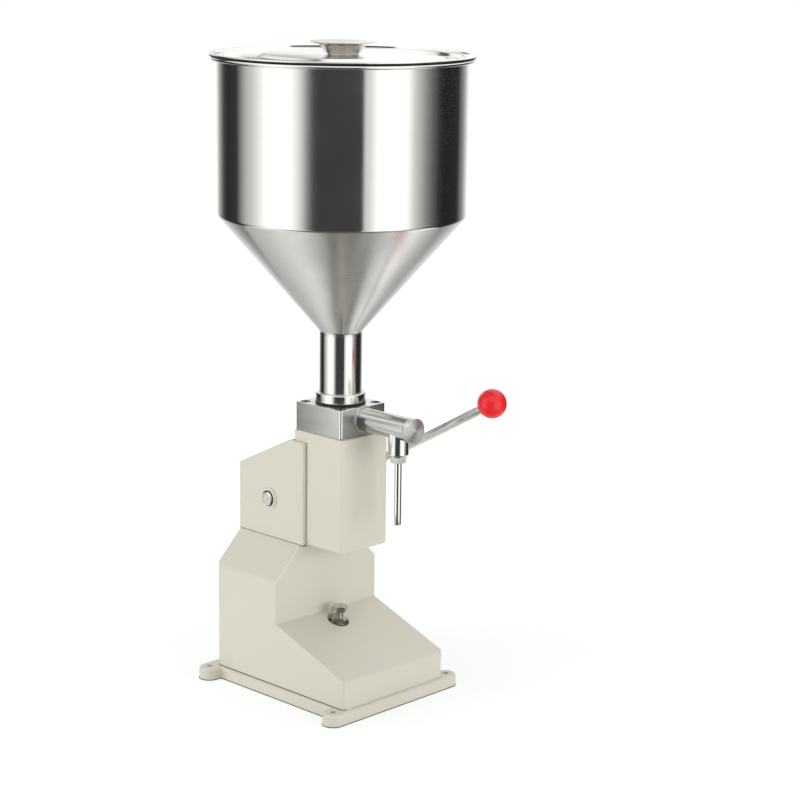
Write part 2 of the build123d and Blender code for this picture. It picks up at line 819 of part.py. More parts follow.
def make_piston_head():
    """Piston with two seal grooves and a pocket for its nut."""
    piston = rod_z(piston_radius(), piston_bottom_z, piston_top_z)
    piston = chamfer(piston.edges(), small_chamfer)
    groove_floor = piston_radius() - piston_seal_section - seal_gap
    for offset in piston_seal_offsets:
        bottom = piston_top_z - offset - piston_groove_width / 2
        top = bottom + piston_groove_width
        groove = rod_z(piston_diameter, bottom, top)
        groove -= rod_z(groove_floor, bottom - cut_margin, top + cut_margin)
        piston -= groove
    piston -= rod_z(piston_stud_diameter / 2, piston_bottom_z - cut_margin, piston_top_z + cut_margin)
    nut_room = piston_nut_flats / sqrt(3) + 2 * seal_gap
    return piston - rod_z(nut_room, piston_top_z - piston_nut_height, piston_top_z + cut_margin)


def piston_seal_centre_radius():
    """Centre radius of the piston's seal rings, which just clear the barrel."""
    return piston_radius() - piston_seal_section / 2


def make_piston_seals():
    """Two seal rings in the piston's grooves."""
    ring = o_ring(piston_seal_centre_radius(), piston_seal_section, piston_top_z)
    return [Pos(0, 0, -offset) * ring for offset in piston_seal_offsets]


def make_piston_nut():
    """Nut that holds the piston on its rod."""
    bottom = piston_top_z - piston_nut_height
    nut = hex_z(piston_nut_flats, bottom, piston_top_z)
    return nut - rod_z(piston_stud_diameter / 2, bottom - cut_margin, piston_top_z + cut_margin)


def make_piston_rod():
    """Rod with a stud for the piston, a crosshead for the pin and a tail that meets the bolt."""
    rod = rod_z(rod_diameter / 2, rod_tail_z, piston_bottom_z)
    rod = chamfer(rod.edges().group_by(Axis.Z)[0], small_chamfer)
    rod += rod_z(piston_stud_diameter / 2, piston_bottom_z, piston_top_z)
    half_height = crosshead_height / 2
    head = rounded_plan(
        crosshead_width / 2,
        (-crosshead_depth / 2, crosshead_depth / 2),
        (crosshead_rest_z - half_height, crosshead_rest_z + half_height),
        small_chamfer,
    )
    rod += head
    hole = crosshead_pin_diameter / 2 + crosshead_pin_fit
    return rod - rod_x(hole, -crosshead_width, crosshead_width, 0, crosshead_rest_z)


def fork_inner_x():
    """Inner face of a fork tine."""
    return crosshead_width / 2 + arm_tine_clearance


def fork_outer_x():
    """Outer face of a fork tine."""
    return fork_inner_x() + arm_tine_thickness


def clip_groove_x():
    """Inner face of the groove for a pin clip."""
    return fork_outer_x() + arm_tine_clearance


def make_crosshead_pin():
    """Pin through the crosshead, with a clip groove at each end."""
    half_length = fork_outer_x() + crosshead_pin_overhang
    pin = rod_x(crosshead_pin_diameter / 2, -half_length, half_length, 0, crosshead_rest_z)
    pin = chamfer(pin.edges(), small_chamfer / 2)
    core = crosshead_pin_diameter / 2 - pin_clip_groove_depth
    for side in (-1, 1):
        groove = sorted((side * clip_groove_x(), side * (clip_groove_x() + pin_clip_thickness)))
        ring = rod_x(crosshead_pin_diameter, groove[0], groove[1], 0, crosshead_rest_z)
        ring -= rod_x(core, groove[0] - cut_margin, groove[1] + cut_margin, 0, crosshead_rest_z)
        pin -= ring
    return pin


def open_clip(core_radius, height, thickness):
    """An open retaining clip around a groove, made along +Z with its gap on +X."""
    clip = Pos(0, 0, thickness / 2) * Cylinder(core_radius + height, thickness)
    clip -= Pos(0, 0, thickness / 2) * Cylinder(core_radius, 2 * thickness)
    reach = 2 * (core_radius + height)
    half_gap = core_radius / 2
    return clip - block_between((0, reach), (-half_gap, half_gap), (-thickness, 2 * thickness))


def make_pin_clips():
    """Two clips that keep the crosshead pin in the fork."""
    core = crosshead_pin_diameter / 2 - pin_clip_groove_depth
    clip = open_clip(core, pin_clip_height, pin_clip_thickness)
    right = along_x(clip, clip_groove_x(), 0, crosshead_rest_z)
    left = along_x(clip, -clip_groove_x() - pin_clip_thickness, 0, crosshead_rest_z)
    return [left, right]


def make_guide_bush():
    """Flanged bush in the tower's floor that guides the rod's tail."""
    radius = guide_bush_radius()
    floor_top = housing_top_z + tower_bottom_web
    bush = rod_z(radius, housing_top_z, floor_top)
    bush += rod_z(guide_bush_flange_diameter / 2, floor_top, floor_top + guide_bush_flange_thickness)
    bore = rod_diameter / 2 + rod_guide_clearance
    return bush - rod_z(bore, housing_top_z - cut_margin, floor_top + tower_bottom_web)


# Shaft, crank and lever


def make_shaft_bush(side):
    """Flanged bush in one cheek of the crank case, on the side given as -1 or 1."""
    radius = bush_outer_radius()
    inner_x = case_half_width - case_wall - inner_boss_length
    face_x = case_half_width + shaft_boss_height
    sleeve = sorted((side * inner_x, side * face_x))
    flange = sorted((side * face_x, side * case_cheek_outer_x))
    bush = rod_x(radius, sleeve[0], sleeve[1], shaft_y, shaft_z)
    bush += rod_x(bush_flange_diameter / 2, flange[0], flange[1], shaft_y, shaft_z)
    bore = shaft_diameter / 2 + bush_running_clearance
    return bush - rod_x(bore, -2 * hub_right_x, 2 * hub_right_x, shaft_y, shaft_z)


def circlip_x():
    """Left face of the circlip, just inside the left bush."""
    return -(case_half_width - case_wall - inner_boss_length) + axial_play


def key_cut(x_range, extra=0.0):
    """A key, or its keyway with some extra room, on top of the shaft."""
    half = key_width / 2 + extra
    bottom = shaft_z + shaft_diameter / 2 - key_height / 2
    return block_between(x_range, (shaft_y - half, shaft_y + half), (bottom, bottom + key_height + extra))


def key_ranges():
    """Lengths of the two keys along the shaft: under the crank arm and under the lever's hub."""
    arm = fork_outer_x() - cut_margin
    return [(-arm, arm), (hub_left_x + cut_margin, hub_right_x - cut_margin)]


def make_pivot_shaft():
    """Shaft that joins the lever's hub to the crank arm."""
    left = -(case_cheek_outer_x + shaft_left_protrusion)
    shaft = rod_x(shaft_diameter / 2, left, hub_right_x, shaft_y, shaft_z)
    shaft = chamfer(shaft.edges(), shaft_end_chamfer)
    for x_range in key_ranges():
        shaft -= key_cut(x_range)
    core = shaft_diameter / 2 - circlip_groove_depth
    groove = (circlip_x(), circlip_x() + circlip_thickness)
    ring = rod_x(shaft_diameter, groove[0], groove[1], shaft_y, shaft_z)
    ring -= rod_x(core, groove[0] - cut_margin, groove[1] + cut_margin, shaft_y, shaft_z)
    return shaft - ring


def make_shaft_keys():
    """Two parallel keys."""
    return [key_cut(x_range) for x_range in key_ranges()]


def make_shaft_circlip():
    """Circlip that keeps the shaft from moving to the left."""
    core = shaft_diameter / 2 - circlip_groove_depth
    return along_x(open_clip(core, circlip_height, circlip_thickness), circlip_x(), shaft_y, shaft_z)


def make_thrust_washer():
    """Washer between the right bush and the lever's hub."""
    left = case_cheek_outer_x + axial_play / 2
    washer = rod_x(thrust_washer_diameter / 2, left, left + thrust_washer_thickness, shaft_y, shaft_z)
    bore = shaft_diameter / 2 + bush_running_clearance
    return washer - rod_x(bore, 0, 2 * hub_right_x, shaft_y, shaft_z)


def make_crank_arm():
    """Forked arm keyed to the shaft; a slot in each tine drives the crosshead pin."""
    slope = piston_stroke / 2 / shaft_y
    longest = shaft_y * sqrt(1 + slope ** 2)
    slot_middle = (shaft_y + longest) / 2
    slot_travel = longest - shaft_y + 2 * arm_slot_end_play
    hub = Circle(arm_hub_radius)
    tip = Pos(-slot_middle, 0) * Circle(arm_tip_radius)
    outline = make_hull(hub.edges() + tip.edges())
    slot_width = crosshead_pin_diameter + 2 * arm_slot_play
    slot = Pos(-slot_middle, 0) * SlotCenterToCenter(slot_travel, slot_width)
    full = 2 * fork_outer_x()
    arm = extrude(outline - slot, full)
    throat_end = shaft_y - arm_hub_radius
    throat = block_between(
        (-2 * shaft_y, -shaft_y + throat_end),
        (-arm_hub_radius - cut_margin, arm_hub_radius + cut_margin),
        (full / 2 - fork_inner_x(), full / 2 + fork_inner_x()),
    )
    arm -= throat
    arm -= Pos(0, 0, full / 2) * Cylinder(shaft_diameter / 2, 2 * full)
    lift = Rot(0, 0, -arm_angle_degrees())
    standing = Plane.YZ * (lift * arm)
    placed = Pos(-fork_outer_x(), shaft_y, shaft_z) * standing
    placed -= key_cut((-full, full))
    screw_top = shaft_z + arm_hub_radius + cut_margin
    return placed - rod_z(set_screw_diameter / 2, shaft_z, screw_top, 0, shaft_y)


def arm_angle_degrees():
    """Angle of the crank arm above level at rest, with the piston at the top of its stroke."""
    return atan_degrees(piston_stroke / 2 / shaft_y)


def atan_degrees(slope):
    """Angle of a slope, in degrees."""
    return Vector(1, slope, 0).get_angle(Vector(1, 0, 0))


def set_screw(bottom_z, top_z, x):
    """A socket set screw above the shaft, along Z."""
    screw = rod_z(set_screw_diameter / 2, bottom_z, top_z, x, shaft_y)
    socket_bottom = top_z - (top_z - bottom_z) / 2
    return screw - hex_z(set_screw_socket_flats, socket_bottom, top_z + cut_margin, x, shaft_y)


def key_top_z():
    """Top of the shaft's keys, which the set screws press on."""
    return shaft_z + shaft_diameter / 2 + key_height / 2


def make_arm_set_screw():
    """Set screw that locks the crank arm on its key."""
    return set_screw(key_top_z(), shaft_z + arm_hub_radius - cut_margin / 2, 0)


def make_lever_hub():
    """Hub on the shaft's right end, bored for the lever's rod."""
    hub = rod_x(lever_hub_diameter / 2, hub_left_x, hub_right_x, shaft_y, shaft_z)
    hub = chamfer(hub.edges(), lever_hub_chamfer)
    hub -= rod_x(shaft_diameter / 2, hub_left_x - cut_margin, hub_right_x + cut_margin, shaft_y, shaft_z)
    hub -= key_cut((hub_left_x - cut_margin, hub_right_x + cut_margin))
    hub -= lever_frame(rod_z(lever_rod_diameter / 2, 0, lever_hub_diameter), 0)
    screw_top = shaft_z + lever_hub_diameter
    return hub - rod_z(set_screw_diameter / 2, shaft_z, screw_top, hub_screw_x(), shaft_y)


def hub_screw_x():
    """Place of the hub's set screw along the shaft."""
    return hub_left_x + set_screw_diameter


def make_hub_set_screw():
    """Set screw that locks the hub on its key."""
    return set_screw(key_top_z(), shaft_z + lever_hub_diameter / 2 - cut_margin / 2, hub_screw_x())


def make_lever_rod():
    """Round lever, screwed into the hub at one end and into the ball at the other."""
    rod = rod_z(lever_rod_diameter / 2, lever_rod_start, lever_length)
    return lever_frame(chamfer(rod.edges(), small_chamfer), 0)


def make_lever_nut():
    """Lock nut of the rod, tight against the hub."""
    bottom = lever_hub_diameter / 2
    nut = hex_z(lever_nut_flats, bottom, bottom + lever_nut_height)
    nut -= rod_z(lever_rod_diameter / 2, bottom - cut_margin, bottom + 2 * lever_nut_height)
    return lever_frame(nut, 0)


def make_ball_knob():
    """Ball knob with a flat where the rod enters."""
    ball = Sphere(ball_diameter / 2)
    ball -= Pos(0, 0, -ball_flat_offset - ball_diameter) * Cylinder(ball_diameter, 2 * ball_diameter)
    ball -= rod_z(ball_insert_diameter / 2, -ball_diameter, ball_insert_length - ball_flat_offset)
    return lever_frame(ball, lever_length)


def make_ball_insert():
    """Threaded insert in the ball."""
    top = ball_insert_length - ball_flat_offset
    insert = rod_z(ball_insert_diameter / 2, -ball_flat_offset, top)
    return lever_frame(insert - rod_z(lever_rod_diameter / 2, -ball_diameter, 0), lever_length)


# Outlet and nozzle


def make_outlet_tube():
    """Outlet tube with the spout branched off it, and a small weld round its root."""
    root_y = -block_half_depth
    length = root_y - tube_end_y
    outer = tube_diameter / 2
    profile = [
        (0, -tube_root_depth),
        (tube_spigot_radius(), -tube_root_depth),
        (tube_spigot_radius(), 0),
        (outer + tube_weld_leg, 0),
        (outer, tube_weld_leg),
        (outer, length),
        (0, length),
    ]
    tube = along_front(turned(profile), root_y, tube_z)
    spout = rod_z(spout_diameter / 2, spout_bottom_z, tube_z, 0, spout_y)
    tube += chamfer(spout.edges().group_by(Axis.Z)[0], spout_bottom_chamfer)
    tube -= rod_y(tube_bore_diameter / 2, tube_end_y - cut_margin, root_y, 0, tube_z)
    tube -= rod_y(outlet_passage_diameter / 2, tube_end_y, root_y + 2 * tube_root_depth, 0, tube_z)
    tube -= rod_z(spout_thread_diameter / 2, spout_bottom_z - cut_margin, spout_thread_top_z, 0, spout_y)
    return tube - rod_z(spout_passage_diameter / 2, spout_bottom_z, tube_z, 0, spout_y)


def make_outlet_seat():
    """Seat ring of the outlet check valve, pressed into the tube's root."""
    root_y = -block_half_depth
    seat = rod_y(tube_bore_diameter / 2, root_y - outlet_seat_length, root_y, 0, tube_z)
    bore_end = root_y - 2 * outlet_seat_length
    return seat - rod_y(outlet_seat_bore / 2, bore_end, root_y + cut_margin, 0, tube_z)


def outlet_ball_y():
    """Centre of the outlet ball when it rests on its seat."""
    ball = outlet_ball_diameter / 2
    bore = outlet_seat_bore / 2
    contact = sqrt(ball ** 2 - bore ** 2)
    return -block_half_depth - outlet_seat_length - contact - 2 * seal_gap


def make_outlet_ball():
    """Ball of the outlet check valve."""
    return Pos(0, outlet_ball_y(), tube_z) * Sphere(outlet_ball_diameter / 2)


def outlet_spring_start():
    """Where the outlet spring touches the ball."""
    ball = outlet_ball_diameter / 2
    inner = outlet_spring_radius - outlet_spring_wire / 2
    return outlet_ball_y() - sqrt(ball ** 2 - inner ** 2) - spring_end_gap


def cap_plug_end_y():
    """Inner end of the cap's plug, where the outlet spring rests."""
    return tube_end_y + cap_plug_length


def make_outlet_spring():
    """Spring between the ball and the end cap."""
    length = outlet_spring_start() - cap_plug_end_y()
    coil = spring(outlet_spring_radius, outlet_spring_wire, outlet_spring_turns, length)
    return along_front(coil, outlet_spring_start(), tube_z)


def make_tube_cap():
    """Turned end cap with a plug, taken off to clean the check valve."""
    outer = cap_diameter / 2
    plug = tube_bore_diameter / 2
    points = [
        (0, -cap_plug_length - cap_seal_thickness),
        (plug, -cap_plug_length - cap_seal_thickness),
        (plug, 0),
        (outer, 0),
        (outer, cap_thickness),
        (0, cap_thickness + cap_crown),
    ]
    cap = turned(points)
    circles = cap.edges().filter_by(GeomType.CIRCLE)
    rim = circles.filter_by(lambda edge: edge.radius > outer - cap_edge_chamfer / 2)
    cap = chamfer(rim, cap_edge_chamfer)
    return along_front(cap, tube_end_y - cap_seal_thickness, tube_z)


def make_cap_seal():
    """Flat seal between the tube's end and its cap."""
    front = tube_end_y - cap_seal_thickness
    seal = rod_y(cap_seal_diameter / 2, front, tube_end_y, 0, tube_z)
    return seal - rod_y(tube_bore_diameter / 2, front - cut_margin, tube_end_y + cut_margin, 0, tube_z)


def make_nozzle_nut():
    """Hexagonal gland nut, screwed up into the spout."""
    nut = hex_z(nozzle_nut_flats, nut_bottom_z, spout_bottom_z, 0, spout_y, nozzle_nut_turn)
    across = nozzle_nut_flats / sqrt(3)
    round_bar = rod_z(across, nut_bottom_z, spout_bottom_z, 0, spout_y)
    nut &= chamfer(round_bar.edges(), hex_corner_chamfer)
    stub_top = spout_thread_top_z - nozzle_seal_thickness - nozzle_flange_thickness
    nut += rod_z(spout_thread_diameter / 2, spout_bottom_z, stub_top, 0, spout_y)
    bore = nozzle_diameter / 2 + nozzle_nut_fit
    return nut - rod_z(bore, nut_bottom_z - cut_margin, stub_top + cut_margin, 0, spout_y)


def make_nozzle_tube():
    """Thin filling nozzle, relieved where it enters the nut, with a flange that the nut clamps."""
    flange_bottom = spout_thread_top_z - nozzle_seal_thickness - nozzle_flange_thickness
    neck_bottom = nut_bottom_z - nozzle_neck_drop
    tube = rod_z(nozzle_diameter / 2, nozzle_tip_z, neck_bottom, 0, spout_y)
    tube += rod_z(nozzle_neck_diameter / 2, neck_bottom, flange_bottom, 0, spout_y)
    flange_top = flange_bottom + nozzle_flange_thickness
    tube += rod_z(nozzle_flange_diameter / 2, flange_bottom, flange_top, 0, spout_y)
    return tube - rod_z(nozzle_bore / 2, nozzle_tip_z - cut_margin, spout_thread_top_z, 0, spout_y)


def make_nozzle_seal():
    """Flat seal between the nozzle's flange and the spout."""
    bottom = spout_thread_top_z - nozzle_seal_thickness
    seal = rod_z(nozzle_flange_diameter / 2, bottom, spout_thread_top_z, 0, spout_y)
    return seal - rod_z(nozzle_bore / 2, bottom - cut_margin, spout_thread_top_z + cut_margin, 0, spout_y)


# Adjusting bolt


def make_adjusting_bolt():
    """Hexagon bolt whose head the rod's tail meets at the end of the stroke."""
    head = hex_z(bolt_hex_flats, bolt_neck_z, bolt_head_top_z)
    round_bar = rod_z(bolt_hex_flats / sqrt(3), bolt_neck_z, bolt_head_top_z)
    head &= chamfer(round_bar.edges().group_by(Axis.Z)[-1], hex_corner_chamfer)
    return head + rod_z(bolt_diameter / 2, bolt_head_top_z - bolt_length, bolt_neck_z)


def make_lock_nut():
    """Lock nut of the adjusting bolt, tight on the pocket's floor."""
    top = pocket_floor_z + lock_nut_height
    nut = hex_z(bolt_hex_flats, pocket_floor_z, top)
    round_bar = rod_z(bolt_hex_flats / sqrt(3), pocket_floor_z, top)
    nut &= chamfer(round_bar.edges(), hex_corner_chamfer)
    return nut - rod_z(bolt_diameter / 2 + seal_gap, pocket_floor_z - cut_margin, top + cut_margin)


# Hopper and lid


def cone_lean():
    """How far the cone rises, and how long it is, for each millimetre outwards."""
    slope = (hopper_seam_z - neck_top_z) / (hopper_radius - neck_radius)
    return slope, sqrt(1 + slope ** 2)


def hopper_section():
    """Wall section of the whole hopper in (radius, height), below its rolled rim."""
    outer_neck = neck_radius
    inner_neck = neck_radius - sheet
    slope, lean = cone_lean()
    outer = [(outer_neck, neck_seat_z), (outer_neck, neck_top_z), (hopper_radius, hopper_seam_z)]
    outer.append((hopper_radius, hopper_rim_z))
    inner_rise = sheet * (lean - slope)
    inner = [(hopper_radius - sheet, hopper_rim_z), (hopper_radius - sheet, hopper_seam_z + inner_rise)]
    inner += [(inner_neck, neck_top_z + inner_rise), (inner_neck, neck_seat_z)]
    face = make_face(Polyline(*outer, *inner, close=True))
    rounds = [
        (outer[1], neck_knuckle_round),
        (outer[2], hopper_knuckle_round),
        (inner[1], hopper_knuckle_round - sheet),
        (inner[2], neck_knuckle_round + sheet),
    ]
    for (radius_at, height_at), radius in rounds:
        corner = face.vertices().sort_by_distance((radius_at, height_at, 0))[0]
        face = fillet(corner, radius)
    return face


def hopper_between(bottom, top):
    """The part of the hopper's wall between two heights."""
    width = 2 * hopper_radius
    band = Pos(width / 2, (bottom + top) / 2) * Rectangle(width, top - bottom)
    return revolve(Plane.XZ * (hopper_section() & band), Axis.Z)


def cone_bottom_z():
    """Weld between the neck and the cone, just below the knuckle."""
    return neck_top_z - neck_knuckle_round


def cone_top_z():
    """Weld between the cone and the cylinder, just below the knuckle's curve."""
    slope, lean = cone_lean()
    curve_foot = hopper_seam_z - hopper_knuckle_round * (lean - slope) * slope / lean
    return curve_foot - hopper_weld_drop


def make_hopper_neck():
    """Neck tube that plugs into the collar."""
    return hopper_between(neck_seat_z, cone_bottom_z())


def make_hopper_cone():
    """Cone with the rounded knuckle at its foot."""
    return hopper_between(cone_bottom_z(), cone_top_z())


def make_hopper_cylinder():
    """Rolled cylinder with the upper knuckle at its foot and a beaded rim."""
    wall = hopper_between(cone_top_z(), hopper_rim_z)
    bead_z = hopper_rim_z - hopper_bead_radius
    bead_centre = hopper_radius + hopper_bead_reach - hopper_bead_radius
    inner = hopper_radius - sheet
    lip = [
        (inner, hopper_rim_z - sheet),
        (bead_centre, hopper_rim_z - sheet),
        (bead_centre, hopper_rim_z),
        (inner, hopper_rim_z),
    ]
    bead = Pos(0, 0, bead_z) * Torus(bead_centre, hopper_bead_radius)
    return wall + turned(lip) + bead


def lid_levels():
    """Heights of the lid's upper face: brim, rest, channel, ledge and plateau."""
    rest = lid_base_z + lid_sheet
    brim = rest + lid_brim_rise
    channel = rest - lid_plug_depth
    ledge = channel + lid_step_height
    plateau = ledge + lid_plateau_step
    return brim, rest, channel, ledge, plateau


def make_lid():
    """Pressed lid: a raised brim with a hem, a rest on the rim, a plug step and a raised middle."""
    brim, rest, channel, ledge, plateau = lid_levels()
    upper = [
        (lid_radius, brim - lid_hem_height),
        (lid_radius, brim),
        (lid_rest_radius + lid_brim_rise, brim),
        (lid_rest_radius, rest),
        (lid_plug_radius + lid_sheet, rest),
        (lid_plug_radius, channel),
        (lid_channel_radius, channel),
        (lid_channel_radius - lid_step_width, ledge),
        (lid_plateau_radius, ledge),
        (lid_plateau_radius - lid_slope_width, plateau),
        (knob_screw_diameter / 2, plateau),
    ]
    lower = [
        (knob_screw_diameter / 2, plateau - lid_sheet),
        (lid_plateau_radius - lid_slope_width - lid_sheet / 2, plateau - lid_sheet),
        (lid_plateau_radius - lid_sheet / 2, ledge - lid_sheet),
        (lid_channel_radius - lid_step_width - lid_sheet / 2, ledge - lid_sheet),
        (lid_channel_radius - lid_sheet / 2, channel - lid_sheet),
        (lid_plug_radius + lid_sheet / 2, channel - lid_sheet),
        (lid_plug_radius + 2 * lid_sheet, rest - lid_sheet),
        (lid_rest_radius + lid_sheet / 2, rest - lid_sheet),
        (lid_rest_radius + lid_brim_rise + lid_sheet / 2, brim - lid_sheet),
        (lid_radius - lid_sheet, brim - lid_sheet),
        (lid_radius - lid_sheet, brim - lid_hem_height),
    ]
    return turned(upper + lower, [((lid_radius, brim), lid_edge_round)])


def make_lid_knob():
    """Flared pull knob, turned hollow underneath, with a dished top."""
    base = lid_levels()[-1]
    top = base + knob_height
    neck_z = top - knob_flare_height
    foot_z = base + knob_foot_height
    roof_z = neck_z - knob_sheet
    outer = [
        (knob_foot_radius, base),
        (knob_foot_radius, foot_z),
        (knob_waist_radius, foot_z),
        (knob_neck_radius, neck_z),
        (knob_rim_radius, top - knob_sheet / 2),
        (knob_rim_radius, top),
        (knob_neck_radius, top - knob_dish_depth),
        (0, top - knob_dish_depth),
    ]
    inner = [
        (0, base),
        (knob_boss_radius, base),
        (knob_boss_radius, roof_z),
        (knob_waist_radius - knob_sheet, roof_z),
        (knob_foot_radius - knob_sheet, foot_z),
        (knob_foot_radius - knob_sheet, base),
    ]
    knob = turned(outer + inner)
    return knob - rod_z(knob_screw_diameter / 2, base - cut_margin, roof_z)


def make_knob_screw():
    """Screw from under the lid into the knob."""
    plateau = lid_levels()[-1]
    under = plateau - lid_sheet
    head_bottom = under - knob_screw_head_height
    screw_top = plateau + knob_height / 2
    head = turned(
        [
            (0, head_bottom),
            (knob_screw_head_diameter / 2, head_bottom),
            (knob_screw_head_diameter / 2, under),
            (0, under),
        ],
        [((knob_screw_head_diameter / 2, head_bottom), knob_screw_head_height / 2)],
    )
    return head + rod_z(knob_screw_diameter / 2, under, screw_top)


# Nodes: one file each

nodes = {
    "base_plate": make_base_plate(),
    "base_screws": make_base_screws(),
    "lower_housing": make_lower_housing(),
    "lock_nut": make_lock_nut(),
    "tower_housing": make_tower_housing(),
    "tower_screws": make_tower_screws(),
    "rod_guide_bush": make_guide_bush(),
    "crank_case": make_crank_case(),
    "case_screws": make_case_screws(),
    "shaft_bush_left": make_shaft_bush(-1),
    "shaft_bush_right": make_shaft_bush(1),
    "valve_block": make_valve_block(),
    "block_screws": make_block_screws(),
    "piston_barrel": make_piston_barrel(),
    "barrel_gasket": make_barrel_gasket(),
    "hopper_collar": make_hopper_collar(),
    "collar_seal": make_collar_seal(),
    "inlet_seat": make_inlet_seat(),
    "inlet_spring": make_inlet_spring(),
    "outlet_tube": make_outlet_tube(),
    "outlet_seat": make_outlet_seat(),
    "outlet_spring": make_outlet_spring(),
    "tube_cap": make_tube_cap(),
    "cap_seal": make_cap_seal(),
    "nozzle_nut": make_nozzle_nut(),
    "nozzle_tube": make_nozzle_tube(),
    "nozzle_seal": make_nozzle_seal(),
    "inlet_poppet": make_inlet_poppet(),
    "stem_nut": make_stem_nut(),
    "outlet_ball": make_outlet_ball(),
    "adjusting_bolt": make_adjusting_bolt(),
    "piston_head": make_piston_head(),
    "piston_seals": make_piston_seals(),
    "piston_nut": make_piston_nut(),
    "piston_rod": make_piston_rod(),
    "crosshead_pin": make_crosshead_pin(),
    "pin_clips": make_pin_clips(),
    "pivot_shaft": make_pivot_shaft(),
    "shaft_keys": make_shaft_keys(),
    "shaft_circlip": make_shaft_circlip(),
    "thrust_washer": make_thrust_washer(),
    "crank_arm": make_crank_arm(),
    "arm_set_screw": make_arm_set_screw(),
    "lever_hub": make_lever_hub(),
    "hub_set_screw": make_hub_set_screw(),
    "lever_rod": make_lever_rod(),
    "lever_nut": make_lever_nut(),
    "ball_knob": make_ball_knob(),
    "ball_insert": make_ball_insert(),
    "hopper_cylinder": make_hopper_cylinder(),
    "hopper_cone": make_hopper_cone(),
    "hopper_neck": make_hopper_neck(),
    "lid": make_lid(),
    "lid_knob": make_lid_knob(),
    "knob_screw": make_knob_screw(),
}

os.makedirs("parts", exist_ok=True)
for name, shape in nodes.items():
    piece = Compound(children=shape) if isinstance(shape, list) else shape
    export_step(piece, f"parts/{name}.step")
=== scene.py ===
"""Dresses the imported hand-lever paste filler for Blender 4.5 and sets it in a plain studio.

Sizes are millimetres, as on a drawing of the machine, and become metres when a piece is seated.
The machine stands on z = 0 under the hopper's axis, with its nozzle towards -Y and its lever on
the +X side.
"""

import json
import logging
from contextlib import contextmanager
from dataclasses import dataclass
from enum import Enum
from functools import cache
from math import cos, pi, radians, sin, sqrt, tan
from typing import Callable, Iterator, Sequence

import bmesh
import bpy
from bpy.types import Material, Mesh, Node, NodeSocket, NodeTree, Object
from mathutils import Euler, Matrix, Vector

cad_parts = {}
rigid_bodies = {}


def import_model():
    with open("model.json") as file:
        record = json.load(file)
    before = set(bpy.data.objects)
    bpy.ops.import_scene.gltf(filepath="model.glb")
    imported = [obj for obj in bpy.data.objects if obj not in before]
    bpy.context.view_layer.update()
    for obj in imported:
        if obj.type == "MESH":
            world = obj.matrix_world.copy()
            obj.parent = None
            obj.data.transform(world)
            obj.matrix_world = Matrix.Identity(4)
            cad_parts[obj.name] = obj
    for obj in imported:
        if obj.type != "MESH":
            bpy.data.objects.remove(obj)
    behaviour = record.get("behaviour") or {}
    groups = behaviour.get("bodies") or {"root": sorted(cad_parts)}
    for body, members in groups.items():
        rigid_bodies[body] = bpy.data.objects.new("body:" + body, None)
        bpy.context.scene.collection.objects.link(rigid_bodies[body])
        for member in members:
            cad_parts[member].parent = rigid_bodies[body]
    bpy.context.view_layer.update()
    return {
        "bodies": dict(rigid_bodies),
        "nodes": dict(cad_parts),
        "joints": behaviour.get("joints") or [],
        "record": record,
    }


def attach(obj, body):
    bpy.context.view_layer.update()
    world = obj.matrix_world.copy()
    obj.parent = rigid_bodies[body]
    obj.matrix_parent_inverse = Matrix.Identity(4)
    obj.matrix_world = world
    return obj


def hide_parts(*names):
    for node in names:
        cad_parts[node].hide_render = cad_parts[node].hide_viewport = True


LOG = logging.getLogger("paste_filler")

GRAIN_MAP = "grain"
SHARP_ANGLE = radians(32.0)
HEX_CHAMFER = radians(30.0)

# Shares, and waves of noise over a metre
HEX_FACE_SHARE = 0.97
GRAIN_STRETCH = 60.0
SMUDGE_WAVES = 22.0
NOISE_LOW = 0.3
NOISE_HIGH = 0.7

# Metres
MM = 0.001
SAME_PLACE = 1e-6
FOOT_PLAY = 1e-5

# Millimetres
SKIN_MERGE = 0.0005
TURNED_MERGE = 0.001
LEVEL_PLAY = 1e-4
PLAY = 0.05
OVERCUT = 1.0

# Steps round an axis
COARSE, SMALL, STEPS, FINE, RING_STEPS, FINEST = 48, 64, 96, 128, 180, 256

Colour = tuple[float, float, float]
Point = tuple[float, float]
AtAngle = Callable[[float], float]


# Node trees


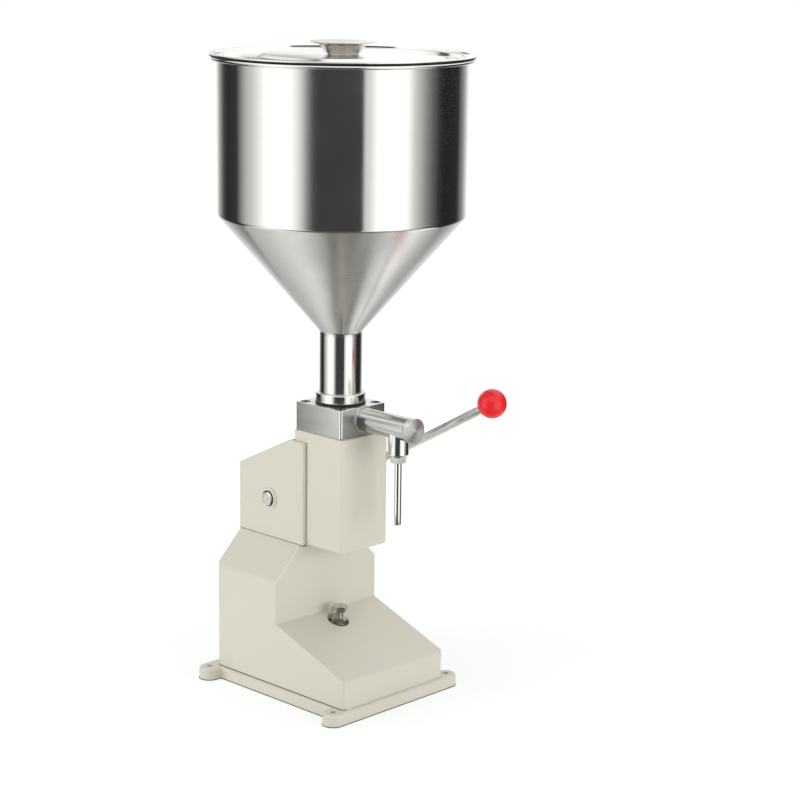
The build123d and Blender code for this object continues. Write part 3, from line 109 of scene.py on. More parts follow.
class Graph:
    """Adds nodes to one shader or geometry tree and joins them."""

    def __init__(self, tree: NodeTree) -> None:
        """Keeps the tree that takes the nodes."""
        self.tree = tree

    def feed(self, node: Node, inputs: dict) -> None:
        """Gives a node its inputs.

        Args:
            node: The node.
            inputs: Sockets or values, by the name or number of the input that takes them.
        """
        for key, value in inputs.items():
            if isinstance(value, NodeSocket):
                self.tree.links.new(value, node.inputs[key])
            else:
                node.inputs[key].default_value = value

    def node(self, kind: str, inputs: dict | None = None, **settings: object) -> Node:
        """Adds a node.

        Args:
            kind: Blender's name for the type of node.
            inputs: What feed() gives it.
            **settings: Properties of the node.

        Returns:
            The new node.
        """
        node = self.tree.nodes.new(kind)
        for name, value in settings.items():
            setattr(node, name, value)
        self.feed(node, inputs or {})
        return node

    def math(self, operation: str, *values: object) -> NodeSocket:
        """Adds a Math node and gives its result."""
        return self.node("ShaderNodeMath", dict(enumerate(values)), operation=operation).outputs[0]

    def times(self, first: object, second: object) -> NodeSocket:
        """Multiplies two numbers."""
        return self.math("MULTIPLY", first, second)

    def whole(self, operation: str, *values: object) -> NodeSocket:
        """Adds an Integer Math node and gives its result."""
        inputs = dict(enumerate(values))
        return self.node("FunctionNodeIntegerMath", inputs, operation=operation).outputs[0]

    def dot(self, first: NodeSocket, second: object) -> NodeSocket:
        """Adds a dot product of two vectors and gives its result."""
        node = self.node("ShaderNodeVectorMath", {0: first, 1: second}, operation="DOT_PRODUCT")
        return node.outputs["Value"]

    def split(self, vector: NodeSocket) -> list[NodeSocket]:
        """Splits a vector into its three numbers."""
        return list(self.node("ShaderNodeSeparateXYZ", {0: vector}).outputs)

    def join(self, x: object, y: object, z: object) -> NodeSocket:
        """Joins three numbers into a vector."""
        return self.node("ShaderNodeCombineXYZ", {0: x, 1: y, 2: z}).outputs[0]

    def place(self) -> NodeSocket:
        """Object coordinates, in metres."""
        return self.node("ShaderNodeTexCoord").outputs["Object"]

    def seated(self, seat: "Seat") -> NodeSocket:
        """Object coordinates turned and moved so that a seat's axis becomes Z."""
        inputs = {"Vector": self.place(), "Location": seat.foot(), "Rotation": seat.turn()}
        return self.node("ShaderNodeMapping", inputs, vector_type="TEXTURE").outputs[0]

    def noise(self, vector: object, scale: float, detail: float = 3.0) -> NodeSocket:
        """Adds a noise and gives its grey value."""
        inputs = {"Vector": vector, "Scale": scale, "Detail": detail}
        return self.node("ShaderNodeTexNoise", inputs).outputs[0]

    def bump(
        self, height: object, strength: float, depth: float, under: NodeSocket | None = None
    ) -> NodeSocket:
        """Adds a bump.

        Args:
            height: The height's socket.
            strength: How strongly it shows, from 0 to 1.
            depth: Depth of the relief in millimetres.
            under: The normal of a coarser bump, if there is one.

        Returns:
            The normal's socket.
        """
        inputs = {"Height": height, "Strength": strength, "Distance": depth * MM}
        if under is not None:
            inputs["Normal"] = under
        return self.node("ShaderNodeBump", inputs).outputs[0]

    def spread(self, value: NodeSocket, low: float, high: float) -> NodeSocket:
        """Spreads the middle of a noise over a range."""
        ends = {"From Min": NOISE_LOW, "From Max": NOISE_HIGH, "To Min": low, "To Max": high}
        return self.node("ShaderNodeMapRange", {"Value": value, **ends}).outputs[0]

    def blend(self, factor: NodeSocket, dark: Colour, light: Colour) -> NodeSocket:
        """Blends two colours.

        Args:
            factor: The socket that runs from 0 for the dark colour to 1 for the light one.
            dark: The dark colour.
            light: The light colour.

        Returns:
            The colour's socket.
        """
        node = self.node("ShaderNodeMix", {"Factor": factor}, data_type="RGBA")
        for socket, colour in zip([s for s in node.inputs if s.type == "RGBA"], (dark, light)):
            socket.default_value = (*colour, 1.0)
        return [socket for socket in node.outputs if socket.type == "RGBA"][0]


def scaled(colour: Colour, factor: float) -> Colour:
    """A colour made lighter or darker by a factor."""
    return tuple(min(1.0, channel * factor) for channel in colour)


# Places


@dataclass(frozen=True)
class Seat:
    """Where a piece made along +Z stands: its foot in millimetres and its turns in degrees."""

    x: float = 0.0
    y: float = 0.0
    z: float = 0.0
    turn_x: float = 0.0
    turn_y: float = 0.0

    def turn(self) -> Euler:
        """The turns as Euler angles."""
        return Euler((radians(self.turn_x), radians(self.turn_y), 0.0))

    def matrix(self) -> Matrix:
        """Place of the piece on the machine, in millimetres."""
        return Matrix.Translation((self.x, self.y, self.z)) @ self.turn().to_matrix().to_4x4()

    def foot(self) -> Vector:
        """Foot of the piece in metres."""
        return Vector((self.x, self.y, self.z)) * MM


MACHINE_AXIS = Seat()


# Finishes


class Grain(Enum):
    """How the lines of a metal's grain run on a piece."""

    ROUND = "round its axis"
    ALONG = "along its axis"
    LEVEL = "level, on flat sides"
    CLOUDED = "in no direction"


@dataclass(frozen=True)
class Finish:
    """What all finishes share: a name, a slot of the record, a colour and a roughness."""

    name: str
    slot: str
    colour: Colour
    roughness: float

    def sockets(self, graph: Graph, seat: Seat) -> dict:
        """Inputs of the Principled shader, which each kind of finish works out."""
        raise NotImplementedError

    def clouded(self, graph: Graph, cloud: NodeSocket, dark: float, light: float) -> NodeSocket:
        """The colour, between a darker and a lighter one by a noise."""
        return graph.blend(cloud, scaled(self.colour, dark), scaled(self.colour, light))

    def rough(self, graph: Graph, cloud: NodeSocket, share: float) -> NodeSocket:
        """The roughness, spread by a share to both sides by a noise."""
        return graph.spread(cloud, self.roughness * (1.0 - share), self.roughness * (1.0 + share))

    def build(self, label: str, seat: Seat) -> Material:
        """Makes the material for one seat.

        Args:
            label: The material's name.
            seat: The seat of the pieces that wear it.

        Returns:
            The material.
        """
        material = bpy.data.materials.new(label)
        material.use_nodes = True
        graph = Graph(material.node_tree)
        graph.feed(graph.tree.nodes["Principled BSDF"], self.sockets(graph, seat))
        return material


@dataclass(frozen=True)
class Metal(Finish):
    """Bare metal with the fine lines that turning, brushing or grinding leaves."""

    grain: Grain = Grain.CLOUDED
    anisotropy: float = 0.0
    line_pitch: float = 0.6
    line_strength: float = 0.15
    unevenness: float = 0.15
    contrast: float = 0.05
    line_depth: float = 0.01
    line_roughness: float = 0.15
    quarter_turn: float = 0.25

    def grain_value(self, graph: Graph, seat: Seat) -> NodeSocket:
        """Grey value of the grain's lines.

        Args:
            graph: The material's graph.
            seat: The seat whose axis the lines follow.

        Returns:
            The value's socket.
        """
        lines = 1.0 / (self.line_pitch * MM)
        drift = lines / GRAIN_STRETCH
        x, y, z = graph.split(graph.seated(seat))
        if self.grain is Grain.ROUND:
            radius = graph.math("SQRT", graph.math("ADD", graph.times(x, x), graph.times(y, y)))
            out, up = graph.times(radius, lines), graph.times(z, lines)
            vector = graph.join(out, up, graph.times(x, drift))
            inputs = {"Vector": vector, "W": graph.times(y, drift), "Scale": 1.0, "Detail": 3.0}
            return graph.node("ShaderNodeTexNoise", inputs, noise_dimensions="4D").outputs[0]
        across, along = {
            Grain.ALONG: (lines, drift),
            Grain.LEVEL: (drift, lines),
            Grain.CLOUDED: (lines, lines),
        }[self.grain]
        vector = graph.join(graph.times(x, across), graph.times(y, across), graph.times(z, along))
        return graph.noise(vector, 1.0)

    def sockets(self, graph: Graph, seat: Seat) -> dict:
        """Colour, roughness and relief from the grain, with smudges over them.

        Args:
            graph: The material's graph.
            seat: The seat of the pieces that wear it.

        Returns:
            Sockets and values by the name of the shader's input.
        """
        grain = self.grain_value(graph, seat)
        smudge = graph.noise(graph.place(), SMUDGE_WAVES)
        uneven = graph.spread(smudge, 1.0 - self.unevenness, 1.0 + self.unevenness)
        inputs = {
            "Base Color": self.clouded(graph, grain, 1.0 - self.contrast, 1.0 + self.contrast),
            "Roughness": graph.times(self.rough(graph, grain, self.line_roughness), uneven),
            "Normal": graph.bump(grain, self.line_strength, self.line_depth),
            "Metallic": 1.0,
        }
        if self.anisotropy:
            tangent = graph.node("ShaderNodeTangent", direction_type="UV_MAP", uv_map=GRAIN_MAP)
            inputs |= {"Anisotropic": self.anisotropy, "Tangent": tangent.outputs[0]}
        if self.anisotropy and self.grain is Grain.ALONG:
            inputs["Anisotropic Rotation"] = self.quarter_turn
        return inputs


@dataclass(frozen=True)
class Paint(Finish):
    """Stoved paint over a casting, with the casting's soft texture showing through."""

    texture_pitch: float = 1.4
    texture_depth: float = 0.05
    peel_pitch: float = 9.0
    peel_depth: float = 0.12
    relief: float = 0.35
    cloud_scale: float = 14.0
    cloud_dark: float = 0.97
    cloud_light: float = 1.03
    gloss: float = 0.25
    gloss_roughness: float = 0.18

    def sockets(self, graph: Graph, seat: Seat) -> dict:
        """Faint clouds, the casting's texture over the paint's peel, and a gloss.

        Args:
            graph: The material's graph.
            seat: The seat of the pieces that wear it.

        Returns:
            Sockets and values by the name of the shader's input.
        """
        local = graph.seated(seat)
        texture = graph.noise(local, 1.0 / (self.texture_pitch * MM), detail=4.0)
        peel = graph.noise(local, 1.0 / (self.peel_pitch * MM), detail=2.0)
        cloud = graph.noise(local, self.cloud_scale, detail=5.0)
        coarse = graph.bump(peel, self.relief, self.peel_depth)
        return {
            "Base Color": self.clouded(graph, cloud, self.cloud_dark, self.cloud_light),
            "Roughness": self.rough(graph, texture, 0.1),
            "Normal": graph.bump(texture, self.relief, self.texture_depth, coarse),
            "Coat Weight": self.gloss,
            "Coat Roughness": self.gloss_roughness,
        }


@dataclass(frozen=True)
class Moulded(Finish):
    """Plastic, rubber or a dull alloy, with faint clouding and a fine skin."""

    metallic: float = 0.0
    gloss: float = 0.0
    gloss_roughness: float = 0.12
    skin_pitch: float = 0.8
    skin_depth: float = 0.01
    skin_relief: float = 0.15
    cloud_scale: float = 60.0
    cloud_dark: float = 0.93
    cloud_light: float = 1.05

    def sockets(self, graph: Graph, seat: Seat) -> dict:
        """Faint clouds, a fine skin and a gloss.

        Args:
            graph: The material's graph.
            seat: The seat of the pieces that wear it.

        Returns:
            Sockets and values by the name of the shader's input.
        """
        local = graph.seated(seat)
        skin = graph.noise(local, 1.0 / (self.skin_pitch * MM))
        cloud = graph.noise(local, self.cloud_scale)
        return {
            "Base Color": self.clouded(graph, cloud, self.cloud_dark, self.cloud_light),
            "Roughness": self.rough(graph, skin, 0.15),
            "Normal": graph.bump(skin, self.skin_relief, self.skin_depth),
            "Metallic": self.metallic,
            "Coat Weight": self.gloss,
            "Coat Roughness": self.gloss_roughness,
        }


IVORY_PAINT = Paint("ivory_paint", "painted_casting", (0.70, 0.68, 0.575), 0.42)
# Painted highlight: a lighter copy of the ivory paint for the bead on the shoulders' front edges.
EDGE_HIGHLIGHT_PAINT = Paint("ivory_edge", "painted_casting", (0.90, 0.885, 0.80), 0.3)
# The bush flanges' ivory paint, made lighter than the castings' paint as a painted highlight.
IVORY_FLANGE_HIGHLIGHT = Paint("ivory_flange", "machined_steel", (0.80, 0.785, 0.70), 0.34)

# Each metal has its grain, anisotropy, line pitch and strength, and unevenness after its roughness

BRUSHED, SATIN, SHINY = "brushed_stainless", "satin_stainless", "polished_stainless"
STEEL, FASTENER = "machined_steel", "zinc_fasteners"
ROUND, ALONG, LEVEL, CLOUDED = Grain
BRUSHED_ROUND = Metal("brushed_round", BRUSHED, (0.80, 0.79, 0.77), 0.13, ROUND, 0.8, 0.5, 0.06)
TUBE_DRAWN = Metal("tube_drawn", BRUSHED, (0.54, 0.53, 0.51), 0.14, ALONG, 0.5, 1.8, 0.45, contrast=0.9)
WELD = Metal("weld_scale", BRUSHED, (0.62, 0.60, 0.57), 0.34, CLOUDED, 0.0, 1.2, 0.35, 0.3)
SATIN_ROUND = Metal("satin_round", SATIN, (0.72, 0.71, 0.70), 0.23, ROUND, 0.7, 0.5, 0.02)
GROUND_LEVEL = Metal("ground_level", SATIN, (0.70, 0.70, 0.69), 0.32, LEVEL, 0.0, 0.7, 0.2)
GROUND_EDGE = Metal("ground_edge", SATIN, (0.84, 0.84, 0.83), 0.10, LEVEL, 0.0, 0.7, 0.05)
# Painted shade: near black steel for the walls of the holes in the block.
BORE_SHADE = Metal("sunk_bore", SATIN, (0.12, 0.12, 0.12), 0.4, CLOUDED, 0.0, 0.9, 0.2)
POLISHED = Metal("polished", SHINY, (0.84, 0.83, 0.81), 0.09, ROUND, 0.3, 0.9, 0.03)
PULL = Metal("pull_metal", SHINY, (0.60, 0.585, 0.56), 0.17, ROUND, 0.3, 0.9, 0.05)
GLAND = Metal("gland_metal", SHINY, (0.46, 0.46, 0.44), 0.2, CLOUDED, 0.0, 1.2, 0.8, 0.3, contrast=0.5)
CAP_FACE = Metal("cap_face", SHINY, (0.85, 0.85, 0.83), 0.42, ROUND, 0.9, 0.45, 0.12)
FACED = Metal("faced_end", SHINY, (0.93, 0.93, 0.92), 0.45, ROUND, 0.0, 0.45, 0.1)
TURNED = Metal("turned", SHINY, (0.80, 0.79, 0.77), 0.26, ROUND, 0.8, 0.45, 0.16)
DRAWN = Metal("drawn", STEEL, (0.88, 0.885, 0.89), 0.18, ALONG, 0.5, 0.8, 0.03, 0.05)
MACHINED = Metal("machined", STEEL, (0.66, 0.66, 0.65), 0.30, CLOUDED, 0.0, 0.5, 0.12)
ZINC = Metal("zinc", FASTENER, (0.60, 0.585, 0.54), 0.32, CLOUDED, 0.0, 0.9, 0.18, 0.25)
DULL_ZINC = Metal(
    "dull_zinc", FASTENER, (0.62, 0.60, 0.52), 0.12, CLOUDED, 0.0, 1.8, 1.0, 0.35, contrast=0.75
)
# Painted shade: zinc darkened for the shade in the block's deep screw seats.
SHADED_ZINC = Metal("sunk_zinc", FASTENER, (0.14, 0.14, 0.13), 0.3, CLOUDED, 0.0, 0.9, 0.3, 0.3)
WIRE = Metal("spring_wire", "spring_steel", (0.42, 0.42, 0.42), 0.32)

BRONZE = Moulded("bronze", "bronze", (0.56, 0.40, 0.20), 0.38, metallic=1.0)
RUBBER = Moulded("rubber", "seal_rubber", (0.015, 0.015, 0.015), 0.7)
# Painted shade: near black beads for the shadows in the gaps between castings and the contact shadow
# under the plate.
SEAM_SHADOW = Moulded("joint_line", "seal_rubber", (0.05, 0.048, 0.036), 0.8)
# Painted shadow on the floor of the bolt's pocket.
POCKET_SHADE = Moulded("pocket_shade", "seal_rubber", (0.22, 0.21, 0.17), 0.8)
WHITE_SEAL = Moulded("white_seal", "white_seal", (0.80, 0.80, 0.78), 0.45)
RED_PLASTIC = Moulded("red_plastic", "red_knob", (0.84, 0.008, 0.016), 0.34, gloss=0.25, skin_pitch=3.0)


@cache
def dressed(finish: Finish, seat: Seat) -> Material:
    """The material of a finish for one seat, made once."""
    return finish.build(f"{finish.name}_{seat.x:.0f}_{seat.y:.0f}_{seat.z:.0f}", seat)


# Profiles


@dataclass(frozen=True)
class Corner:
    """A corner of a profile at a radius and a height, and the round that it is given."""

    radius: float
    height: float
    round: float = 0.0


def arc(centre: Point, radius: float, start: float, end: float, steps: int = 10) -> list[Corner]:
    """Corners along an arc, between two angles in degrees."""
    angles = [radians(start + (end - start) * step / steps) for step in range(steps + 1)]
    return [Corner(centre[0] + radius * cos(a), centre[1] + radius * sin(a)) for a in angles]


def rounded(corners: Sequence[Corner], closed: bool = False, steps: int = 5) -> list[Point]:
    """Points of a profile with its corners rounded.

    Args:
        corners: The corners in order.
        closed: Whether the profile returns to its first corner.
        steps: Steps in each round.

    Returns:
        The points, with the first one again at the end of a closed profile.
    """
    points: list[Point] = []
    count = len(corners)
    for number, corner in enumerate(corners):
        here = Vector((corner.radius, corner.height))
        ends = not closed and number in (0, count - 1)
        if ends or not corner.round:
            points.append(tuple(here))
            continue
        before, after = corners[number - 1], corners[(number + 1) % count]
        back = (Vector((before.radius, before.height)) - here).normalized()
        ahead = (Vector((after.radius, after.height)) - here).normalized()
        half = back.angle(ahead) / 2.0
        start, end = (here + side * corner.round / tan(half) for side in (back, ahead))
        centre = here + (back + ahead).normalized() * corner.round / sin(half)
        sweep = (start - centre).angle_signed(end - centre)
        for step in range(steps + 1):
            spoke = (start - centre) @ Matrix.Rotation(sweep * step / steps, 2)
            points.append(tuple(centre + spoke))
    if closed:
        points.append(points[0])
    return points


def band(radii: Point, heights: Point, rounds: Sequence[float], steps: int = 3) -> list[Point]:
    """Closed profile of a plain ring.

    Args:
        radii: Its inner and outer radius.
        heights: Its bottom and top.
        rounds: The rounds of its corners, from the inner foot outwards, up and back in.
        steps: Steps in each round.

    Returns:
        The points.
    """
    (inner, outer), (bottom, top) = radii, heights
    places = ((inner, bottom), (outer, bottom), (outer, top), (inner, top))
    return rounded([Corner(*place, size) for place, size in zip(places, rounds)], True, steps)


# Shaping tools


def plain_mesh(holder: Object) -> Mesh:
    """The mesh that an object's modifiers give. The object is thrown away.

    Args:
        holder: The object, already in the scene.

    Returns:
        The finished mesh.
    """
    depsgraph = bpy.context.evaluated_depsgraph_get()
    shown = holder.evaluated_get(depsgraph)
    mesh = bpy.data.meshes.new_from_object(shown, preserve_all_data_layers=True, depsgraph=depsgraph)
    holder.modifiers.clear()
    bpy.data.objects.remove(holder)
    return mesh


def linked(name: str, data: bpy.types.ID) -> Object:
    """Makes an object and puts it in the scene.

    Args:
        name: The object's name.
        data: Its mesh, lamp or camera.

    Returns:
        The object.
    """
    new = bpy.data.objects.new(name, data)
    bpy.context.scene.collection.objects.link(new)
    return new


@contextmanager
def edited(mesh: Mesh) -> Iterator[bmesh.types.BMesh]:
    """Opens a mesh for editing and writes it back.

    Args:
        mesh: The mesh, which may be empty.

    Yields:
        The editable form of the mesh.
    """
    build = bmesh.new()
    build.from_mesh(mesh)
    yield build
    build.to_mesh(mesh)
    build.free()


class NodeTool:
    """A Geometry Nodes tree with named inputs that shapes a mesh."""

    def __init__(self, name: str, inputs: dict[str, str]) -> None:
        """Opens the tree.

        Args:
            name: The tree's name.
            inputs: Types of its inputs by name, apart from the geometry and the material.
        """
        self.tree = bpy.data.node_groups.new(name, "GeometryNodeTree")
        sockets = {"Geometry": "NodeSocketGeometry", **inputs, "Material": "NodeSocketMaterial"}
        for label, kind in sockets.items():
            self.tree.interface.new_socket(label, in_out="INPUT", socket_type=kind)
        self.tree.interface.new_socket("Geometry", in_out="OUTPUT", socket_type="NodeSocketGeometry")
        self.graph = Graph(self.tree)
        self.given = self.graph.node("NodeGroupInput").outputs

    def close(self, geometry: NodeSocket) -> None:
        """Ends the tree: instances become real and take the material.

        Args:
            geometry: What the tree has made.
        """
        real = self.graph.node("GeometryNodeRealizeInstances", {"Geometry": geometry}).outputs[0]
        finish = {"Geometry": real, "Material": self.given["Material"]}
        worn = self.graph.node("GeometryNodeSetMaterial", finish).outputs[0]
        self.graph.node("NodeGroupOutput", {0: worn})

    def repeat(self, points: NodeSocket, turn: NodeSocket) -> None:
        """Puts the given piece on each point and ends the tree.

        Args:
            points: The points.
            turn: The piece's turn about Z at each point.
        """
        inputs = {
            "Points": points,
            "Instance": self.given["Geometry"],
            "Rotation": self.graph.join(0.0, 0.0, turn),
        }
        self.close(self.graph.node("GeometryNodeInstanceOnPoints", inputs).outputs[0])

    def grid(self, rows: object, columns: object) -> tuple[Node, object, object]:
        """Adds a grid of points to bend into a surface.

        Args:
            rows: Number of points along the profile.
            columns: Number of points round the axis.

        Returns:
            The grid, and the row and column number of each point.
        """
        grid = self.graph.node("GeometryNodeMeshGrid", {"Vertices X": rows, "Vertices Y": columns})
        index = self.graph.node("GeometryNodeInputIndex").outputs[0]
        row = self.graph.whole("DIVIDE_FLOOR", index, columns)
        return grid, row, self.graph.whole("MODULO", index, columns)

    def wrap(self, grid: Node, radius: object, turn: object, height: object) -> None:
        """Bends the grid round the axis, keeps its map, closes it and ends the tree.

        Args:
            grid: The grid.
            radius: Radius of each point.
            turn: Turn of each point, where 1 is a full turn.
            height: Height of each point.
        """
        graph = self.graph
        angle = graph.times(turn, 2.0 * pi)
        x = graph.times(radius, graph.math("COSINE", angle))
        y = graph.times(radius, graph.math("SINE", angle))
        place = {"Geometry": grid.outputs["Mesh"], "Position": graph.join(x, y, height)}
        bent = graph.node("GeometryNodeSetPosition", place).outputs[0]
        mapped = graph.node(
            "GeometryNodeStoreNamedAttribute",
            {"Geometry": bent, "Name": GRAIN_MAP, "Value": grid.outputs["UV Map"]},
            data_type="FLOAT2",
            domain="CORNER",
        ).outputs[0]
        merge = {"Geometry": mapped, "Distance": TURNED_MERGE}
        merged = graph.node("GeometryNodeMergeByDistance", merge)
        self.close(merged.outputs[0])

    def shape(self, source: Mesh, material: Material, **values: object) -> Mesh:
        """Runs the tree.

        Args:
            source: The mesh that goes in.
            material: The material that the result takes.
            **values: The other inputs, with underscores for spaces.

        Returns:
            The shaped mesh.
        """
        holder = linked("workpiece", source)
        modifier = holder.modifiers.new("shape", "NODES")
        modifier.node_group = self.tree
        given = {name.replace("_", " "): value for name, value in values.items()}
        given["Material"] = material
        for item in self.tree.interface.items_tree:
            if item.in_out == "INPUT" and item.name in given:
                modifier[item.identifier] = given[item.name]
        return plain_mesh(holder)


class Lathe(NodeTool):
    """Turns a profile of radii and heights about the Z axis."""

    def __init__(self) -> None:
        """Builds the tree."""
        super().__init__("turn_profile", {"Segments": "NodeSocketInt"})
        graph, segments = self.graph, self.given["Segments"]
        profile = self.given["Geometry"]
        points = graph.node("GeometryNodeAttributeDomainSize", {"Geometry": profile})
        columns = graph.whole("ADD", segments, 1)
        grid, row, column = self.grid(points.outputs["Point Count"], columns)
        place = graph.node("GeometryNodeInputPosition").outputs[0]
        sampled = graph.node(
            "GeometryNodeSampleIndex",
            {"Geometry": profile, "Value": place, "Index": row},
            data_type="FLOAT_VECTOR",
        )
        radius, _, height = graph.split(sampled.outputs[0])
        self.wrap(grid, radius, graph.math("DIVIDE", column, segments), height)

    def turn(self, profile: Sequence[Point], material: Material, segments: int = STEPS) -> Mesh:
        """Turns a profile.

        Args:
            profile: Points of (radius, height) in order.
            material: The material that the piece takes.
            segments: Number of steps round the axis.

        Returns:
            The turned mesh, in millimetres along +Z.
        """
        mesh = bpy.data.meshes.new("profile")
        edges = [(number, number + 1) for number in range(len(profile) - 1)]
        mesh.from_pydata([(radius, 0.0, height) for radius, height in profile], edges, [])
        return self.shape(mesh, material, Segments=segments)


class ThreadCutter(NodeTool):
    """Cuts a screw thread over the whole length of a round bar along +Z."""

    rows_per_turn = 8
    columns = 48
    flank_slope = 1.15

    def __init__(self) -> None:
        """Builds the tree."""
        sizes = ("Radius", "Depth", "Pitch", "Length")
        super().__init__("cut_thread", {name: "NodeSocketFloat" for name in sizes})
        graph, given = self.graph, self.given
        turns = graph.math("DIVIDE", given["Length"], given["Pitch"])
        rows = graph.math("CEIL", graph.times(turns, self.rows_per_turn))
        last = graph.math("ADD", rows, 2.0)
        grid, row, column = self.grid(graph.math("ADD", last, 1.0), self.columns + 1)
        part = graph.math("DIVIDE", graph.math("SUBTRACT", row, 1.0), graph.math("SUBTRACT", last, 2.0))
        clamped = graph.math("MINIMUM", graph.math("MAXIMUM", part, 0.0), 1.0)
        height = graph.times(clamped, given["Length"])
        turn = graph.math("DIVIDE", column, float(self.columns))
        risen = graph.math("DIVIDE", height, given["Pitch"])
        phase = graph.math("FRACT", graph.math("SUBTRACT", risen, turn))
        flank = graph.math("ABSOLUTE", graph.math("SUBTRACT", graph.times(phase, 2.0), 1.0))
        flat = graph.math("MINIMUM", graph.times(flank, self.flank_slope), 1.0)
        cut = graph.times(graph.math("SUBTRACT", 1.0, flat), given["Depth"])
        end = graph.math("MINIMUM", row, graph.math("SUBTRACT", last, row))
        full = graph.math("MINIMUM", end, 1.0)
        radius = graph.times(graph.math("SUBTRACT", given["Radius"], cut), full)
        self.wrap(grid, radius, turn, height)


class CornerPattern(NodeTool):
    """Repeats a piece at the four corners of a rectangle, each turned by its own amount."""

    def __init__(self) -> None:
        """Builds the tree."""
        spacings = {"Spacing X": "NodeSocketFloat", "Spacing Y": "NodeSocketFloat"}
        super().__init__("corner_pattern", {**spacings, "Seed": "NodeSocketInt"})
        graph, given = self.graph, self.given
        size = {"Size X": given["Spacing X"], "Size Y": given["Spacing Y"]}
        size |= {"Vertices X": 2, "Vertices Y": 2}
        corners = graph.node("GeometryNodeMeshGrid", size).outputs["Mesh"]
        draw = graph.node("FunctionNodeRandomValue", {"Seed": given["Seed"]}, data_type="FLOAT")
        amount = [socket for socket in draw.outputs if socket.type == "VALUE"][0]
        self.repeat(corners, graph.times(amount, 2.0 * pi))


class RingPattern(NodeTool):
    """Repeats a piece round a circle about Z, each turned to face outwards."""

    def __init__(self) -> None:
        """Builds the tree."""
        super().__init__("ring_pattern", {"Count": "NodeSocketInt", "Radius": "NodeSocketFloat"})
        graph, given = self.graph, self.given
        circle = {"Vertices": given["Count"], "Radius": given["Radius"]}
        ring = graph.node("GeometryNodeMeshCircle", circle)
        index = graph.node("GeometryNodeInputIndex").outputs[0]
        step = graph.math("DIVIDE", 2.0 * pi, given["Count"])
        self.repeat(ring.outputs[0], graph.times(index, step))


class SeamBead(NodeTool):
    """Lays a thin round bead along the edges of a mesh."""

    sides = 8

    def __init__(self) -> None:
        """Builds the tree."""
        super().__init__("seam_bead", {"Radius": "NodeSocketFloat"})
        graph, given = self.graph, self.given
        path = graph.node("GeometryNodeMeshToCurve", {"Mesh": given["Geometry"]}).outputs[0]
        section = {"Resolution": self.sides, "Radius": given["Radius"]}
        circle = graph.node("GeometryNodeCurvePrimitiveCircle", section).outputs[0]
        swept = {"Curve": path, "Profile Curve": circle, "Fill Caps": True}
        self.close(graph.node("GeometryNodeCurveToMesh", swept).outputs[0])


def skinned(rings: Sequence[Sequence[Vector]], material: Material, closed: bool = False) -> Mesh:
    """Skins rings that have the same number of points.

    Args:
        rings: The rings in order. A ring whose points all meet becomes a pole.
        material: The material that the piece takes.
        closed: Whether the skin returns from the last ring to the first.

    Returns:
        The mesh.
    """
    mesh = bpy.data.meshes.new("skin")
    count = len(rings[0])
    with edited(mesh) as build:
        rows = [[build.verts.new(point) for point in ring] for ring in rings]
        pairs = list(zip(rows, rows[1:])) + ([(rows[-1], rows[0])] if closed else [])
        for lower, upper in pairs:
            for number in range(count):
                after = (number + 1) % count
                build.faces.new((lower[number], lower[after], upper[after], upper[number]))
        bmesh.ops.remove_doubles(build, verts=build.verts, dist=SKIN_MERGE)
        bmesh.ops.recalc_face_normals(build, faces=build.faces)
    mesh.materials.append(material)
    return mesh


def shaped_ring(radius: AtAngle, height: AtAngle, count: int = STEPS) -> list[Vector]:
    """A ring whose radius and height are given for each angle."""
    angles = [2.0 * pi * number / count for number in range(count)]
    return [Vector((radius(a) * cos(a), radius(a) * sin(a), height(a))) for a in angles]


def plain_ring(radius: float, height: float, count: int = STEPS) -> list[Vector]:
    """A round ring."""
    return shaped_ring(lambda angle: radius, lambda angle: height, count)


def hexagon(flats: float, turn: float = 0.0) -> AtAngle:
    """Radius of a hexagon at each angle.

    Args:
        flats: Its width across flats.
        turn: Its turn in degrees from having a flat on +X.

    Returns:
        The function from angle to radius.
    """
    sixth = pi / 3.0

    def radius(angle: float) -> float:
        """Radius at one angle."""
        off = (angle - radians(turn) + sixth / 2.0) % sixth - sixth / 2.0
        return flats / 2.0 / cos(off)

    return radius


def hex_body(
    flats: float, bottom: float, top: float, material: Material,
    bore: float = 0.0, turn: float = 0.0, double_chamfer: bool = True,
) -> Mesh:
    """A hexagonal nut or bolt head with its corners chamfered at 30 degrees.

    Args:
        flats: Width across flats.
        bottom: Height of its lower face.
        top: Height of its upper face.
        material: The material that it takes.
        bore: Radius of its hole, or 0 for none.
        turn: Its turn in degrees.
        double_chamfer: Whether the lower face is chamfered too.

    Returns:
        The mesh.
    """
    side = hexagon(flats, turn)
    face = flats / 2.0 * HEX_FACE_SHARE
    slope = tan(HEX_CHAMFER)

    def drop(angle: float) -> float:
        """How far the chamfer comes down at one angle."""
        return (side(angle) - face) * slope

    lower_edge = (lambda angle: bottom + drop(angle)) if double_chamfer else (lambda angle: bottom)
    lower_face = plain_ring(face, bottom) if double_chamfer else shaped_ring(side, lambda angle: bottom)
    rings = [
        plain_ring(bore, bottom),
        lower_face,
        shaped_ring(side, lower_edge),
        shaped_ring(side, lambda angle: top - drop(angle)),
        plain_ring(face, top),
        plain_ring(bore, top),
    ]
    return skinned(rings, material, closed=bore > 0.0)


